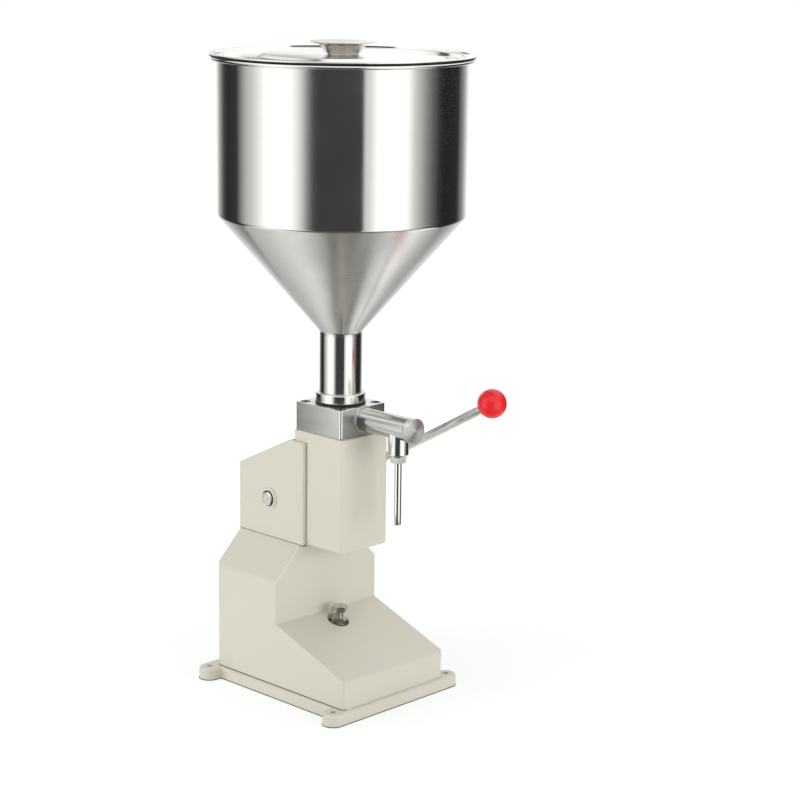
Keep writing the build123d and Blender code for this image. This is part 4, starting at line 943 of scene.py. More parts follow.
def foot_outline(source: Mesh) -> Mesh:
    """Outline of the flat underside of a casting, as loose edges.

    Args:
        source: The casting's mesh.

    Returns:
        A mesh of edges, in metres.
    """
    build = bmesh.new()
    build.from_mesh(source)
    bmesh.ops.remove_doubles(build, verts=build.verts, dist=SAME_PLACE)
    level = min(vertex.co.z for vertex in build.verts) + FOOT_PLAY
    under = {face for face in build.faces if all(vertex.co.z < level for vertex in face.verts)}
    rim = [edge for edge in build.edges if sum(face in under for face in edge.link_faces) == 1]
    corners = list(dict.fromkeys(vertex for edge in rim for vertex in edge.verts))
    numbers = {vertex: number for number, vertex in enumerate(corners)}
    mesh = bpy.data.meshes.new("outline")
    edges = [[numbers[vertex] for vertex in edge.verts] for edge in rim]
    mesh.from_pydata([vertex.co.copy() for vertex in corners], edges, [])
    build.free()
    return mesh


def turn_outwards(mesh: Mesh) -> None:
    """Points the faces of a closed mesh outwards."""
    with edited(mesh) as build:
        bmesh.ops.recalc_face_normals(build, faces=build.faces)


def smooth(mesh: Mesh) -> None:
    """Shades a mesh smooth between its sharp edges."""
    mesh.shade_smooth()
    mesh.set_sharp_from_angle(angle=SHARP_ANGLE)


def combined(first: Mesh, others: Sequence[Mesh], operation: str) -> Mesh:
    """Joins meshes to a first one, or cuts them from it.

    Args:
        first: The mesh that is kept.
        others: The meshes that are joined or cut away.
        operation: UNION or DIFFERENCE.

    Returns:
        The resulting mesh.
    """
    for mesh in (first, *others):
        turn_outwards(mesh)
    holder = linked("workpiece", first)
    tools = [linked("tool", mesh) for mesh in others]
    for tool in tools:
        modifier = holder.modifiers.new("combine", "BOOLEAN")
        modifier.operation = operation
        modifier.solver = "EXACT"
        modifier.object = tool
    mesh = plain_mesh(holder)
    for tool in tools:
        bpy.data.objects.remove(tool)
    return mesh


def placed(mesh: Mesh, seat: Seat) -> Mesh:
    """Moves a mesh to a seat, still in millimetres."""
    mesh.transform(seat.matrix())
    return mesh


def drill(lathe: Lathe, radius: float, heights: Point, material: Material, segments: int) -> Mesh:
    """A round cutter along +Z.

    Args:
        lathe: The lathe that turns it.
        radius: Its radius.
        heights: Its foot and its top.
        material: The material of the hole that it cuts.
        segments: Number of steps round the axis.

    Returns:
        The cutter's mesh.
    """
    foot, top = heights
    return lathe.turn([(0.0, foot), (radius, foot), (radius, top), (0.0, top)], material, segments)


def rise(edge: bmesh.types.BMEdge) -> float:
    """How far an edge's ends are apart in height."""
    return abs(edge.verts[0].co.z - edge.verts[1].co.z)


# Seating


class Fitter:
    """Puts finished meshes on the machine's bodies and hides the CAD nodes that they stand for."""

    def __init__(self, frame: dict) -> None:
        """Keeps the frame and sets up the shaping tools.
        """
        self.nodes = frame["nodes"]
        self.lathe = Lathe()
        self.thread_cutter = ThreadCutter()
        self.corner_pattern = CornerPattern()
        self.ring_pattern = RingPattern()
        self.seam_bead = SeamBead()

    def add(self, name: str, mesh: Mesh, body: str, slot: str, *replaced: str) -> None:
        """Adds a mesh that is already in metres.

        Args:
            name: The piece's name.
            mesh: Its mesh, in place.
            body: The body that it rides on.
            slot: The record's material slot; not used.
            *replaced: The CAD nodes that it stands for.
        """
        mesh.name = name
        piece = linked(name, mesh)
        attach(piece, body)
        if replaced:
            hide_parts(*replaced)
        LOG.info("%s: %d faces on %s", name, len(mesh.polygons), body)

    def seat(self, name: str, mesh: Mesh, seat: Seat, body: str, slot: str, *replaced: str) -> None:
        """Adds a mesh made in millimetres along +Z.

        Args:
            name: The piece's name.
            mesh: Its mesh.
            seat: Where it stands.
            body: The body that it rides on.
            slot: The record's material slot.
            *replaced: The CAD nodes that it stands for.
        """
        mesh.transform(Matrix.Scale(MM, 4) @ seat.matrix())
        turn_outwards(mesh)
        smooth(mesh)
        self.add(name, mesh, body, slot, *replaced)

    def turn(
        self, name: str, profile: Sequence[Point], finish: Finish, seat: Seat, body: str,
        *replaced: str, segments: int = STEPS,
    ) -> None:
        """Turns a profile and seats it.

        Args:
            name: The piece's name.
            profile: Points of (radius, height).
            finish: Its finish.
            seat: Where it stands.
            body: The body that it rides on.
            *replaced: The CAD nodes that it stands for.
            segments: Number of steps round the axis.
        """
        mesh = self.lathe.turn(profile, dressed(finish, seat), segments)
        self.seat(name, mesh, seat, body, finish.slot, *replaced)

    def smooth_copy(self, name: str, node: str, finish: Finish, body: str) -> None:
        """Replaces a CAD node by a merged copy with smooth rounds and flat faces.

        Args:
            name: The piece's name.
            node: The CAD node.
            finish: Its finish.
            body: The body that it rides on.
        """
        mesh = self.nodes[node].data.copy()
        custom = mesh.attributes.get("custom_normal")
        if custom is not None:
            mesh.attributes.remove(custom)
        with edited(mesh) as build:
            bmesh.ops.remove_doubles(build, verts=build.verts, dist=SAME_PLACE)
        mesh.materials.clear()
        mesh.materials.append(dressed(finish, MACHINE_AXIS))
        smooth(mesh)
        holder = linked("workpiece", mesh)
        modifier = holder.modifiers.new("even_normals", "WEIGHTED_NORMAL")
        modifier.keep_sharp = True
        modifier.mode = "FACE_AREA_WITH_ANGLE"
        self.add(name, plain_mesh(holder), body, finish.slot, node)

    def dress_node(self, node: str, finish: Finish, seat: Seat = MACHINE_AXIS) -> None:
        """Gives a CAD node that stays a finish.

        Args:
            node: The CAD node.
            finish: Its finish.
            seat: The seat that its grain follows.
        """
        materials = self.nodes[node].data.materials
        materials.clear()
        materials.append(dressed(finish, seat))


# Sub-assemblies


@dataclass
class Assembly:
    """A part of the machine, which shapes its pieces and seats them with a fitter."""

    fitter: Fitter

    def build(self) -> None:
        """Shapes, dresses and seats the pieces."""
        raise NotImplementedError


@dataclass
class Castings(Assembly):
    """The four painted castings."""

    def build(self) -> None:
        """Puts smooth painted copies on the castings."""
        for node in ("base_plate", "lower_housing", "tower_housing", "crank_case"):
            self.fitter.smooth_copy(f"{node}_painted", node, IVORY_PAINT, "frame")


@dataclass
class SeamShadowsAndEdgeHighlight(Assembly):
    """Painted shade: dark beads that stand for the shadows in the gaps where the painted castings meet,
    and for the contact shadow on the table; and a light bead that paints a highlight on the shoulders'
    front edges.
    """

    radius: float = 0.6
    foot_radius: float = 0.5
    case_radius: float = 0.7
    upright_radius: float = 0.4
    edge_radius: float = 0.35
    left_part: float = -70.0
    case_front: float = 16.5
    tower_side: float = 36.4
    case_foot: float = 170.0
    case_top: float = 288.0
    wall_front: float = 20.5
    shoulder_foot: Point = (78.7, 134.0)
    shoulder_top: Point = (42.7, 170.0)

    def line_mesh(self, lines: Sequence[tuple[Vector, Vector]]) -> Mesh:
        """Straight loose edges between pairs of places.

        Args:
            lines: Pairs of ends in millimetres.

        Returns:
            The mesh in metres.
        """
        mesh = bpy.data.meshes.new("lines")
        points = [end * MM for line in lines for end in line]
        mesh.from_pydata(points, [(2 * number, 2 * number + 1) for number in range(len(lines))], [])
        return mesh

    def upright_edges(self) -> Mesh:
        """The corners where the crank case's front meets the tower's sides.

        Returns:
            Loose edges, in metres.
        """
        lines = [
            tuple(Vector((side, self.case_front, height)) for height in (self.case_foot, self.case_top))
            for side in (-self.tower_side, self.tower_side)
        ]
        return self.line_mesh(lines)

    def shoulder_edges(self) -> Mesh:
        """The front edges of the housing's sloped shoulders, where a light bead paints a highlight.

        Returns:
            Loose edges, in metres.
        """
        (foot, low), (top, high) = self.shoulder_foot, self.shoulder_top
        lines = [
            (Vector((side * foot, self.wall_front, low)), Vector((side * top, self.wall_front, high)))
            for side in (-1.0, 1.0)
        ]
        return self.line_mesh(lines)

    def keep_left(self, outline: Mesh) -> Mesh:
        """An outline's left side, where the joint shows.

        Args:
            outline: The whole outline, changed in place.

        Returns:
            The same mesh.
        """
        with edited(outline) as build:
            gone = [corner for corner in build.verts if corner.co.x > self.left_part * MM]
            bmesh.ops.delete(build, geom=gone, context="VERTS")
        return outline

    def build(self) -> None:
        """Lays the beads."""
        plate_foot = foot_outline(self.fitter.nodes["base_plate"].data)
        plate_foot.transform(Matrix.Translation((0.0, 0.0, self.foot_radius * MM)))
        housing_foot = self.keep_left(foot_outline(self.fitter.nodes["lower_housing"].data))
        case_foot = foot_outline(self.fitter.nodes["crank_case"].data)
        # The dark beads are painted shadows in the joints and under the plate's foot; the light bead is
        # a painted highlight on the shoulder edges.
        lines = [
            ("plate_foot_line", plate_foot, self.foot_radius, SEAM_SHADOW),
            ("housing_joint_line", housing_foot, self.radius, SEAM_SHADOW),
            ("case_foot_line", case_foot, self.case_radius, SEAM_SHADOW),
            ("case_front_line", self.upright_edges(), self.upright_radius, SEAM_SHADOW),
            # A light bead that paints the highlight on the shoulder edges.
            ("shoulder_edge_line", self.shoulder_edges(), self.edge_radius, EDGE_HIGHLIGHT_PAINT),
        ]
        for name, outline, radius, finish in lines:
            material = dressed(finish, MACHINE_AXIS)
            mesh = self.fitter.seam_bead.shape(outline, material, Radius=radius * MM)
            mesh.shade_smooth()
            self.fitter.add(name, mesh, "frame", finish.slot)


@dataclass
class Hopper(Assembly):
    """Rolled cylinder, spun cone and neck tube, each a shell with its inside and outside."""

    radius: float = 135.0
    sheet: float = 1.2
    seam_height: float = 541.0
    seam_round: float = 5.0
    weld_drop: float = 0.3
    rim_height: float = 711.0
    bead_radius: float = 2.4
    bead_centre: float = 139.6
    neck_radius: float = 23.8
    neck_round: float = 4.0
    neck_foot: float = 334.0
    neck_top: float = 412.6
    lip_round: float = 1.5
    lip_inner_round: float = 0.8
    bead_start: float = 150.0
    bead_end: float = 450.0
    bead_steps: int = 28

    def slope(self) -> float:
        """Rise of the cone for each millimetre outwards."""
        return (self.seam_height - self.neck_top) / (self.radius - self.neck_radius)

    def inner_rise(self) -> float:
        """How much higher the cone's inside starts than its outside."""
        return self.sheet * (sqrt(1.0 + self.slope() ** 2) - self.slope())

    def weld_height(self) -> float:
        """Height of the weld between cone and cylinder, just under the knuckle's curve.

        Returns:
            The height.
        """
        lean = sqrt(1.0 + self.slope() ** 2)
        curve = self.seam_round * (lean - self.slope()) * self.slope() / lean
        return self.seam_height - curve - self.weld_drop

    def weld_corners(self) -> tuple[Corner, Corner]:
        """Outer and inner corner of the cone's wall at the weld.

        Returns:
            The two corners.
        """
        outer = self.radius - (self.seam_height - self.weld_height()) / self.slope()
        inner_drop = self.seam_height + self.inner_rise() - self.weld_height()
        inner = self.radius - self.sheet - inner_drop / self.slope()
        return Corner(outer, self.weld_height()), Corner(inner, self.weld_height())

    def cylinder_profile(self) -> list[Point]:
        """Knuckle, wall, lip and rolled bead, back down the inside.

        Returns:
            The closed profile.
        """
        bead_height = self.rim_height - self.bead_radius
        inner = self.radius - self.sheet
        outer_weld, inner_weld = self.weld_corners()
        corners = [outer_weld, Corner(self.radius, self.seam_height, self.seam_round)]
        corners.append(Corner(self.radius, self.rim_height - self.sheet, self.lip_round))
        centre = (self.bead_centre, bead_height)
        corners += arc(centre, self.bead_radius, self.bead_start, self.bead_end, self.bead_steps)
        corners.append(Corner(inner, self.rim_height, self.lip_inner_round))
        seam = self.seam_height + self.inner_rise()
        corners.append(Corner(inner, seam, self.seam_round - self.sheet))
        corners.append(inner_weld)
        return rounded(corners, closed=True)

    def cone_profile(self) -> list[Point]:
        """Cone with the lower knuckle at its foot.

        Returns:
            The closed profile.
        """
        inner_neck = self.neck_radius - self.sheet
        bottom = self.neck_top - self.neck_round
        outer_weld, inner_weld = self.weld_corners()
        corners = [
            Corner(self.neck_radius, bottom),
            Corner(self.neck_radius, self.neck_top, self.neck_round),
            outer_weld,
            inner_weld,
            Corner(inner_neck, self.neck_top + self.inner_rise(), self.neck_round + self.sheet),
            Corner(inner_neck, bottom),
        ]
        return rounded(corners, closed=True)

    def neck_profile(self) -> list[Point]:
        """Neck tube with a small chamfer at its foot.

        Returns:
            The closed profile.
        """
        radii = (self.neck_radius - self.sheet, self.neck_radius)
        heights = (self.neck_foot, self.neck_top - self.neck_round)
        return band(radii, heights, (0.3, 0.5, 0.0, 0.0), steps=5)

    def build(self) -> None:
        """Turns and seats the three shells."""
        shells = [
            ("hopper_wall", self.cylinder_profile(), BRUSHED_ROUND, "hopper_cylinder"),
            ("hopper_funnel", self.cone_profile(), SATIN_ROUND, "hopper_cone"),
            ("hopper_spigot", self.neck_profile(), BRUSHED_ROUND, "hopper_neck"),
        ]
        for name, profile, finish, node in shells:
            self.fitter.turn(name, profile, finish, MACHINE_AXIS, "hopper", node, segments=FINEST)


@dataclass
class Lid(Assembly):
    """Pressed lid with a channel, a raised middle and a flared pull."""

    base: float = 711.05
    sheet: float = 0.9
    radius: float = 143.6
    rest_radius: float = 137.0
    brim_rise: float = 2.0
    hem: float = 1.35
    plug_radius: float = 131.5
    plug_depth: float = 5.0
    channel_radius: float = 116.0
    step: float = 7.0
    step_height: float = 3.6
    plateau_radius: float = 92.0
    plateau_step: float = 2.8
    screw_radius: float = 2.5
    bend: float = 3.0
    pull_height: float = 13.4
    pull_radius: float = 35.5
    pull_brim: float = 0.7
    pull_foot: float = 17.0
    pull_bore: float = 15.6
    pull_foot_rise: float = 0.8
    pull_cone_foot: float = 18.2
    pull_flare: float = 25.4
    pull_cone_drop: float = 3.2
    pull_dish: float = 1.6
    pull_floor: float = 3.0
    pull_inside: float = 16.8
    # The dark ring under the brim paints the shadow in the gap between lid and bead; seal_height is its
    # thickness.
    brim_shadow_inner: float = 139.4
    brim_shadow_outer: float = 142.6
    seal_height: float = 1.8
    brim_shadow_round: float = 0.3
    brim_shadow_play: float = 0.05

    def levels(self) -> tuple[float, float, float, float, float]:
        """Heights of the brim, the rest, the channel, the ledge and the plateau.

        Returns:
            The five heights, in that order.
        """
        rest = self.base + self.sheet
        channel = rest - self.plug_depth
        ledge = channel + self.step_height
        return rest + self.brim_rise, rest, channel, ledge, ledge + self.plateau_step

    def profile(self) -> list[Point]:
        """Upper face from the hem inwards, then the lower face back out.

        Returns:
            The closed profile.
        """
        brim, rest, channel, ledge, plateau = self.levels()
        sheet, half = self.sheet, self.sheet / 2.0
        brim_radius = self.rest_radius + self.brim_rise
        corners = [
            Corner(self.radius, brim - self.hem, 0.2),
            Corner(self.radius, brim, 0.8),
            Corner(brim_radius, brim, 0.8),
            Corner(self.rest_radius, rest, 1.0),
            Corner(self.plug_radius + sheet, rest, 1.0),
            Corner(self.plug_radius, channel, 1.2),
            Corner(self.channel_radius, channel, self.bend),
            Corner(self.channel_radius - self.step, ledge, self.bend),
            Corner(self.plateau_radius, ledge, self.bend),
            Corner(self.plateau_radius - self.step, plateau, self.bend),
            Corner(self.screw_radius, plateau),
            Corner(self.screw_radius, plateau - sheet),
            Corner(self.plateau_radius - self.step - half, plateau - sheet, self.bend),
            Corner(self.plateau_radius - half, ledge - sheet, self.bend),
            Corner(self.channel_radius - self.step - half, ledge - sheet, self.bend),
            Corner(self.channel_radius - half, channel - sheet, self.bend),
            Corner(self.plug_radius + half, channel - sheet, 1.8),
            Corner(self.plug_radius + 2.0 * sheet, rest - sheet, 0.6),
            Corner(self.rest_radius + half, rest - sheet, 1.0),
            Corner(brim_radius + half, brim - sheet, 0.6),
            Corner(self.radius - sheet, brim - sheet, 0.2),
            Corner(self.radius - sheet, brim - self.hem, 0.2),
        ]
        return rounded(corners, closed=True)

    def pull_profile(self) -> list[Point]:
        """Foot, cone, flare and thin brim of the pull, with its dished top.

        Returns:
            The closed profile.
        """
        base = self.levels()[-1]
        top = base + self.pull_height
        foot, dish = base + self.pull_foot_rise, top - self.pull_dish
        corners = [
            Corner(self.pull_bore, base),
            Corner(self.pull_foot, base, 0.3),
            Corner(self.pull_foot, foot, 0.2),
            Corner(self.pull_cone_foot, foot, 0.4),
            Corner(self.pull_flare, top - self.pull_cone_drop, 3.0),
            Corner(self.pull_radius, top - self.pull_brim, 0.3),
            Corner(self.pull_radius, top, 0.3),
            Corner(self.pull_flare, dish, 4.0),
            Corner(0.0, dish),
            Corner(0.0, dish - self.pull_floor),
            Corner(self.pull_inside, dish - self.pull_floor, 1.0),
            Corner(self.pull_bore, foot, 0.4),
        ]
        return rounded(corners, closed=True)

    def brim_shadow_profile(self) -> list[Point]:
        """Thin dark ring between the lid's brim and the hopper's bead: painted shade for the shadow in
        the gap under the brim.

        Returns:
            The closed profile.
        """
        bottom = self.base + self.brim_shadow_play
        radii, heights = (self.brim_shadow_inner, self.brim_shadow_outer), (bottom, bottom + self.seal_height)
        return band(radii, heights, (self.brim_shadow_round,) * 4)

    def build(self) -> None:
        """Turns and seats the lid, the dark ring of painted shade under its brim, and its pull."""
        turn, axis = self.fitter.turn, MACHINE_AXIS
        turn("lid_pressing", self.profile(), POLISHED, axis, "lid", "lid", segments=FINEST)
        turn("lid_seal", self.brim_shadow_profile(), RUBBER, axis, "lid", segments=FINEST)
        turn("lid_pull", self.pull_profile(), PULL, axis, "lid", "lid_knob", segments=FINE)
        self.fitter.dress_node("knob_screw", ZINC)


@dataclass
class ValveBlock(Assembly):
    """Square block with its four sunk screws, and the collar that takes the hopper."""

    half_width: float = 34.4
    half_depth: float = 36.0
    bottom: float = 300.0
    top: float = 332.0
    edge: float = 2.6
    edge_steps: int = 6
    rim_edge: float = 0.6
    rim_edge_steps: int = 3
    thread_radius: float = 22.0
    thread_depth: float = 8.0
    way_radius: float = 20.0
    flow_radius: float = 19.0
    collar_radius: float = 28.0
    collar_height: float = 12.4
    socket_radius: float = 23.88
    groove: float = 1.2
    groove_height: float = 2.6
    seal_height: float = 339.2
    screw_x: float = 54.0
    screw_y: float = 55.0
    screw_radius: float = 5.0
    screw_head: float = 6.0
    screw_length: float = 36.0
    sink: float = 7.5
    sink_radius: float = 5.5
    knurls: int = 24
    knurl_depth: float = 0.14
    shank_radius: float = 3.0
    tip_radius: float = 2.6
    tip_height: float = 0.5
    socket_flats: float = 5.0
    socket_ease: float = 0.3
    thread_end: float = 4.0
    socket_floor: float = 2.0
    seal_half: float = 1.25
    seal_depth: float = 2.4
    groove_shadow_inset: float = 0.1

    def block_mesh(self) -> Mesh:
        """Block with eased edges, a threaded opening and four sunk screw seats.

        Returns:
            The mesh, in millimetres.
        """
        mesh = bpy.data.meshes.new("block")
        size = Vector((2.0 * self.half_width, 2.0 * self.half_depth, self.top - self.bottom))
        middle = (0.0, 0.0, (self.top + self.bottom) / 2.0)
        with edited(mesh) as build:
            bmesh.ops.create_cube(build, size=1.0)
            bmesh.ops.scale(build, vec=size, verts=build.verts)
            bmesh.ops.translate(build, vec=middle, verts=build.verts)
            upright = [edge for edge in build.edges if rise(edge) > LEVEL_PLAY]
            self.ease(build, upright, self.edge, self.edge_steps)
            level = [edge for edge in build.edges if rise(edge) < LEVEL_PLAY]
            self.ease(build, level, self.rim_edge, self.rim_edge_steps)
        mesh.materials.append(dressed(GROUND_LEVEL, MACHINE_AXIS))
        mesh.materials.append(dressed(GROUND_EDGE, MACHINE_AXIS))
        cutters = [
            self.plug(self.thread_radius, self.top - self.thread_depth),
            self.plug(self.way_radius, self.bottom - OVERCUT),
        ]
        for x in (-self.screw_x / 2.0, self.screw_x / 2.0):
            for y in (-self.screw_y / 2.0, self.screw_y / 2.0):
                sink = self.plug(self.sink_radius, self.top - self.sink)
                cutters.append(placed(sink, Seat(x, y)))
        return combined(mesh, cutters, "DIFFERENCE")

    def ease(self, build: bmesh.types.BMesh, edges: list, offset: float, segments: int) -> None:
        """Rounds edges of the block and gives the rounds the second material.

        Args:
            build: The block.
            edges: The edges.
            offset: Size of the round.
            segments: Number of flats in it.
        """
        bmesh.ops.bevel(
            build, geom=edges, offset=offset, segments=segments, profile=0.5, affect="EDGES", material=1
        )

    def plug(self, radius: float, bottom: float) -> Mesh:
        """A round cutter from a height up past the block's top."""
        # The hole walls take the near black bore material: painted shade.
        top = self.top + OVERCUT
        return drill(self.fitter.lathe, radius, (bottom, top), dressed(BORE_SHADE, MACHINE_AXIS), COARSE)

    def collar_profile(self) -> list[Point]:
        """Collar with its thread end, dark base groove, rounded top and seal groove.

        Returns:
            The closed profile.
        """
        top = self.top + self.collar_height
        waist = self.collar_radius - self.groove
        thread_end, floor = self.top - self.thread_end, self.top + self.socket_floor
        seal_low, seal_high = self.seal_height - self.seal_half, self.seal_height + self.seal_half
        corners = [
            Corner(self.flow_radius, thread_end),
            Corner(self.thread_radius, thread_end),
            Corner(self.thread_radius, self.top),
            Corner(waist, self.top),
            Corner(waist, self.top + self.groove_height),
            Corner(self.collar_radius, self.top + self.groove_height, 0.4),
            Corner(self.collar_radius, top, 1.6),
            Corner(self.socket_radius, top, 0.6),
            Corner(self.socket_radius, seal_high),
            Corner(self.socket_radius + self.seal_depth, seal_high),
            Corner(self.socket_radius + self.seal_depth, seal_low),
            Corner(self.socket_radius, seal_low),
            Corner(self.socket_radius, floor),
            Corner(self.flow_radius, floor),
        ]
        return rounded(corners, closed=True)

    def groove_shadow_profile(self) -> list[Point]:
        """Black ring filling the groove at the collar's foot: painted shade for the groove's shadow."""
        radii = (self.collar_radius - self.groove, self.collar_radius - self.groove_shadow_inset)
        return band(radii, (self.top, self.top + self.groove_height), (0.3, 0.6, 0.6, 0.3))

    def screw_mesh(self) -> Mesh:
        """One socket screw with a knurled head, its underside at Z = 0.

        Returns:
            The mesh, in millimetres.
        """
        samples = 4 * self.knurls
        radius, head, tip = self.screw_radius, self.screw_head, -self.screw_length
        socket = hexagon(self.socket_flats)

        def knurled(angle: float) -> float:
            """Radius of the head's knurled side."""
            return radius - self.knurl_depth * (1.0 - abs(cos(self.knurls * angle / 2.0)))

        def level(height: float) -> AtAngle:
            """The same height at every angle."""
            return lambda angle: height

        rings = [
            plain_ring(0.0, tip, samples),
            plain_ring(self.tip_radius, tip, samples),
            plain_ring(self.shank_radius, tip + self.tip_height, samples),
            plain_ring(self.shank_radius, 0.0, samples),
            plain_ring(radius - 0.3, 0.0, samples),
            shaped_ring(knurled, level(0.4), samples),
            shaped_ring(knurled, level(head - 0.9), samples),
            plain_ring(radius - 0.25, head - 0.5, samples),
            plain_ring(radius - 0.8, head, samples),
            shaped_ring(lambda angle: socket(angle) + self.socket_ease, level(head), samples),
            shaped_ring(socket, level(head - self.socket_ease), samples),
            shaped_ring(socket, level(head / 2.0), samples),
            plain_ring(0.0, head / 2.0 - 0.8, samples),
        ]
        return skinned(rings, dressed(SHADED_ZINC, MACHINE_AXIS))

    def build(self) -> None:
        """Shapes and seats the block, its screws, and the collar with the black ring of painted shade
        in its groove.
        """
        seat, turn, axis = self.fitter.seat, self.fitter.turn, MACHINE_AXIS
        block, collar, groove_shadow = self.block_mesh(), self.collar_profile(), self.groove_shadow_profile()
        seat("valve_block_ground", block, axis, "frame", GROUND_LEVEL.slot, "valve_block")
        turn("collar_turned", collar, BRUSHED_ROUND, axis, "frame", "hopper_collar", segments=FINE)
        # The black ring paints the shadow in the groove at the collar's foot.
        turn("collar_gasket", groove_shadow, RUBBER, axis, "frame", segments=FINE)
        # The screws wear zinc darkened as painted shade for their deep seats.
        pattern = self.fitter.corner_pattern.shape(
            self.screw_mesh(),
            dressed(SHADED_ZINC, MACHINE_AXIS),
            Spacing_X=self.screw_x,
            Spacing_Y=self.screw_y,
            Seed=4,
        )
        under_head = Seat(z=self.top - self.sink)
        seat("block_socket_screws", pattern, under_head, "frame", ZINC.slot, "block_screws")


@dataclass
class Outlet(Assembly):
    """Outlet tube with its weld, spout and cap, the gland nut and the thin nozzle."""

    axis_height: float = 318.5
    root_y: float = -36.0
    end_y: float = -107.4
    tube_radius: float = 13.0
    bore_radius: float = 9.0
    cap_radius: float = 14.0
    cap_thickness: float = 7.0
    cap_crown: float = 1.4
    seal_thickness: float = 1.0
    spout_y: float = -90.0
    spout_radius: float = 11.5
    spout_bottom: float = 287.0
    spout_bore: float = 7.0
    nut_flats: float = 17.0
    nut_height: float = 7.2
    nut_turn: float = 15.0
    nozzle_radius: float = 4.0
    nozzle_bore: float = 3.0
    nozzle_tip: float = 209.5
    nozzle_neck: float = 3.6
    nozzle_neck_drop: float = 1.0
    ripples: int = 34
    ripple_size: tuple[float, float, float] = (1.5, 2.0, 1.15)
    ripple_reach: float = 0.6
    root_flare: float = 2.0
    mouth_ease: float = 1.2
    mouth_height: float = 2.2
    thread_depth: float = 13.5
    plug_depth: float = 8.0
    flange_play: float = 1.5
    flange_radius: float = 6.0
    flange_thickness: float = 2.0

    def tube_seat(self) -> Seat:
        """Seat at the tube's root, along the tube."""
        return Seat(0.0, self.root_y, self.axis_height, turn_x=90.0)

    def spout_seat(self) -> Seat:
        """Seat at the spout's lower face."""
        return Seat(0.0, self.spout_y, self.spout_bottom)

    def tube_mesh(self) -> Mesh:
        """Tube and spout joined into one hollow body.

        Returns:
            The mesh, in place and in millimetres.
        """
        tube_seat, spout_seat = self.tube_seat(), self.spout_seat()
        length = self.root_y - self.end_y
        branch = self.axis_height - self.spout_bottom
        tube_metal, spout_metal = dressed(TUBE_DRAWN, tube_seat), dressed(BRUSHED_ROUND, spout_seat)
        tube_corners = [
            Corner(0.0, 0.0),
            Corner(self.tube_radius + self.root_flare, 0.0),
            Corner(self.tube_radius, self.root_flare, 1.5),
            Corner(self.tube_radius, length, 0.3),
            Corner(0.0, length),
        ]
        spout_corners = [
            Corner(0.0, 0.0),
            Corner(self.spout_radius - self.mouth_ease, 0.0, 1.0),
            Corner(self.spout_radius, self.mouth_height, 2.0),
            Corner(self.spout_radius, branch),
            Corner(0.0, branch),
        ]
        lathe = self.fitter.lathe
        tube = placed(lathe.turn(rounded(tube_corners), tube_metal, FINE), tube_seat)
        spout = placed(lathe.turn(rounded(spout_corners), spout_metal, STEPS), spout_seat)
        for mesh in (tube, spout):
            mesh.materials.append(spout_metal)
        for face in spout.polygons:
            face.material_index = 1
        body = combined(tube, [spout], "UNION")
        bore = drill(lathe, self.bore_radius, (-OVERCUT, length + OVERCUT), tube_metal, SMALL)
        thread = drill(lathe, self.spout_bore, (-OVERCUT, self.thread_depth), spout_metal, SMALL)
        cutters = [placed(bore, tube_seat), placed(thread, spout_seat)]
        return combined(body, cutters, "DIFFERENCE")

    def weld_mesh(self) -> Mesh:
        """Ripples of the weld between the tube's root and the block.

        Returns:
            The mesh, in millimetres.
        """
        bead = bpy.data.meshes.new("ripple")
        with edited(bead) as build:
            bmesh.ops.create_icosphere(build, subdivisions=2, radius=1.0)
            bmesh.ops.scale(build, vec=self.ripple_size, verts=build.verts)
        ring = {"Count": self.ripples, "Radius": self.tube_radius + self.ripple_reach}
        return self.fitter.ring_pattern.shape(bead, dressed(WELD, self.tube_seat()), **ring)

    def cap_profile(self) -> list[Point]:
        """End cap with its plug, eased edges and slightly coned face.

        Returns:
            The profile, from the axis outwards and back to it.
        """
        radius, front = self.cap_radius, self.cap_thickness
        plug_end = -self.plug_depth - self.seal_thickness
        corners = [
            Corner(0.0, plug_end),
            Corner(self.bore_radius, plug_end, 0.5),
            Corner(self.bore_radius, 0.0),
            Corner(radius, 0.0, 0.4),
            Corner(radius, front, 0.7),
            Corner(0.0, front + self.cap_crown),
        ]
        return rounded(corners)

    def nozzle_profile(self) -> list[Point]:
        """Nozzle tube, relieved where it enters the nut, with its clamped flange.

        Returns:
            The closed profile.
        """
        flange = self.spout_bottom + self.thread_depth - self.flange_play
        flange_foot = flange - self.flange_thickness
        neck = self.spout_bottom - self.nut_height - self.nozzle_neck_drop
        corners = [
            Corner(self.nozzle_bore, self.nozzle_tip, 0.2),
            Corner(self.nozzle_radius, self.nozzle_tip, 0.3),
            Corner(self.nozzle_radius, neck, 0.2),
            Corner(self.nozzle_neck, neck),
            Corner(self.nozzle_neck, flange_foot),
            Corner(self.flange_radius, flange_foot),
            Corner(self.flange_radius, flange),
            Corner(self.nozzle_bore, flange),
        ]
        return rounded(corners, closed=True)

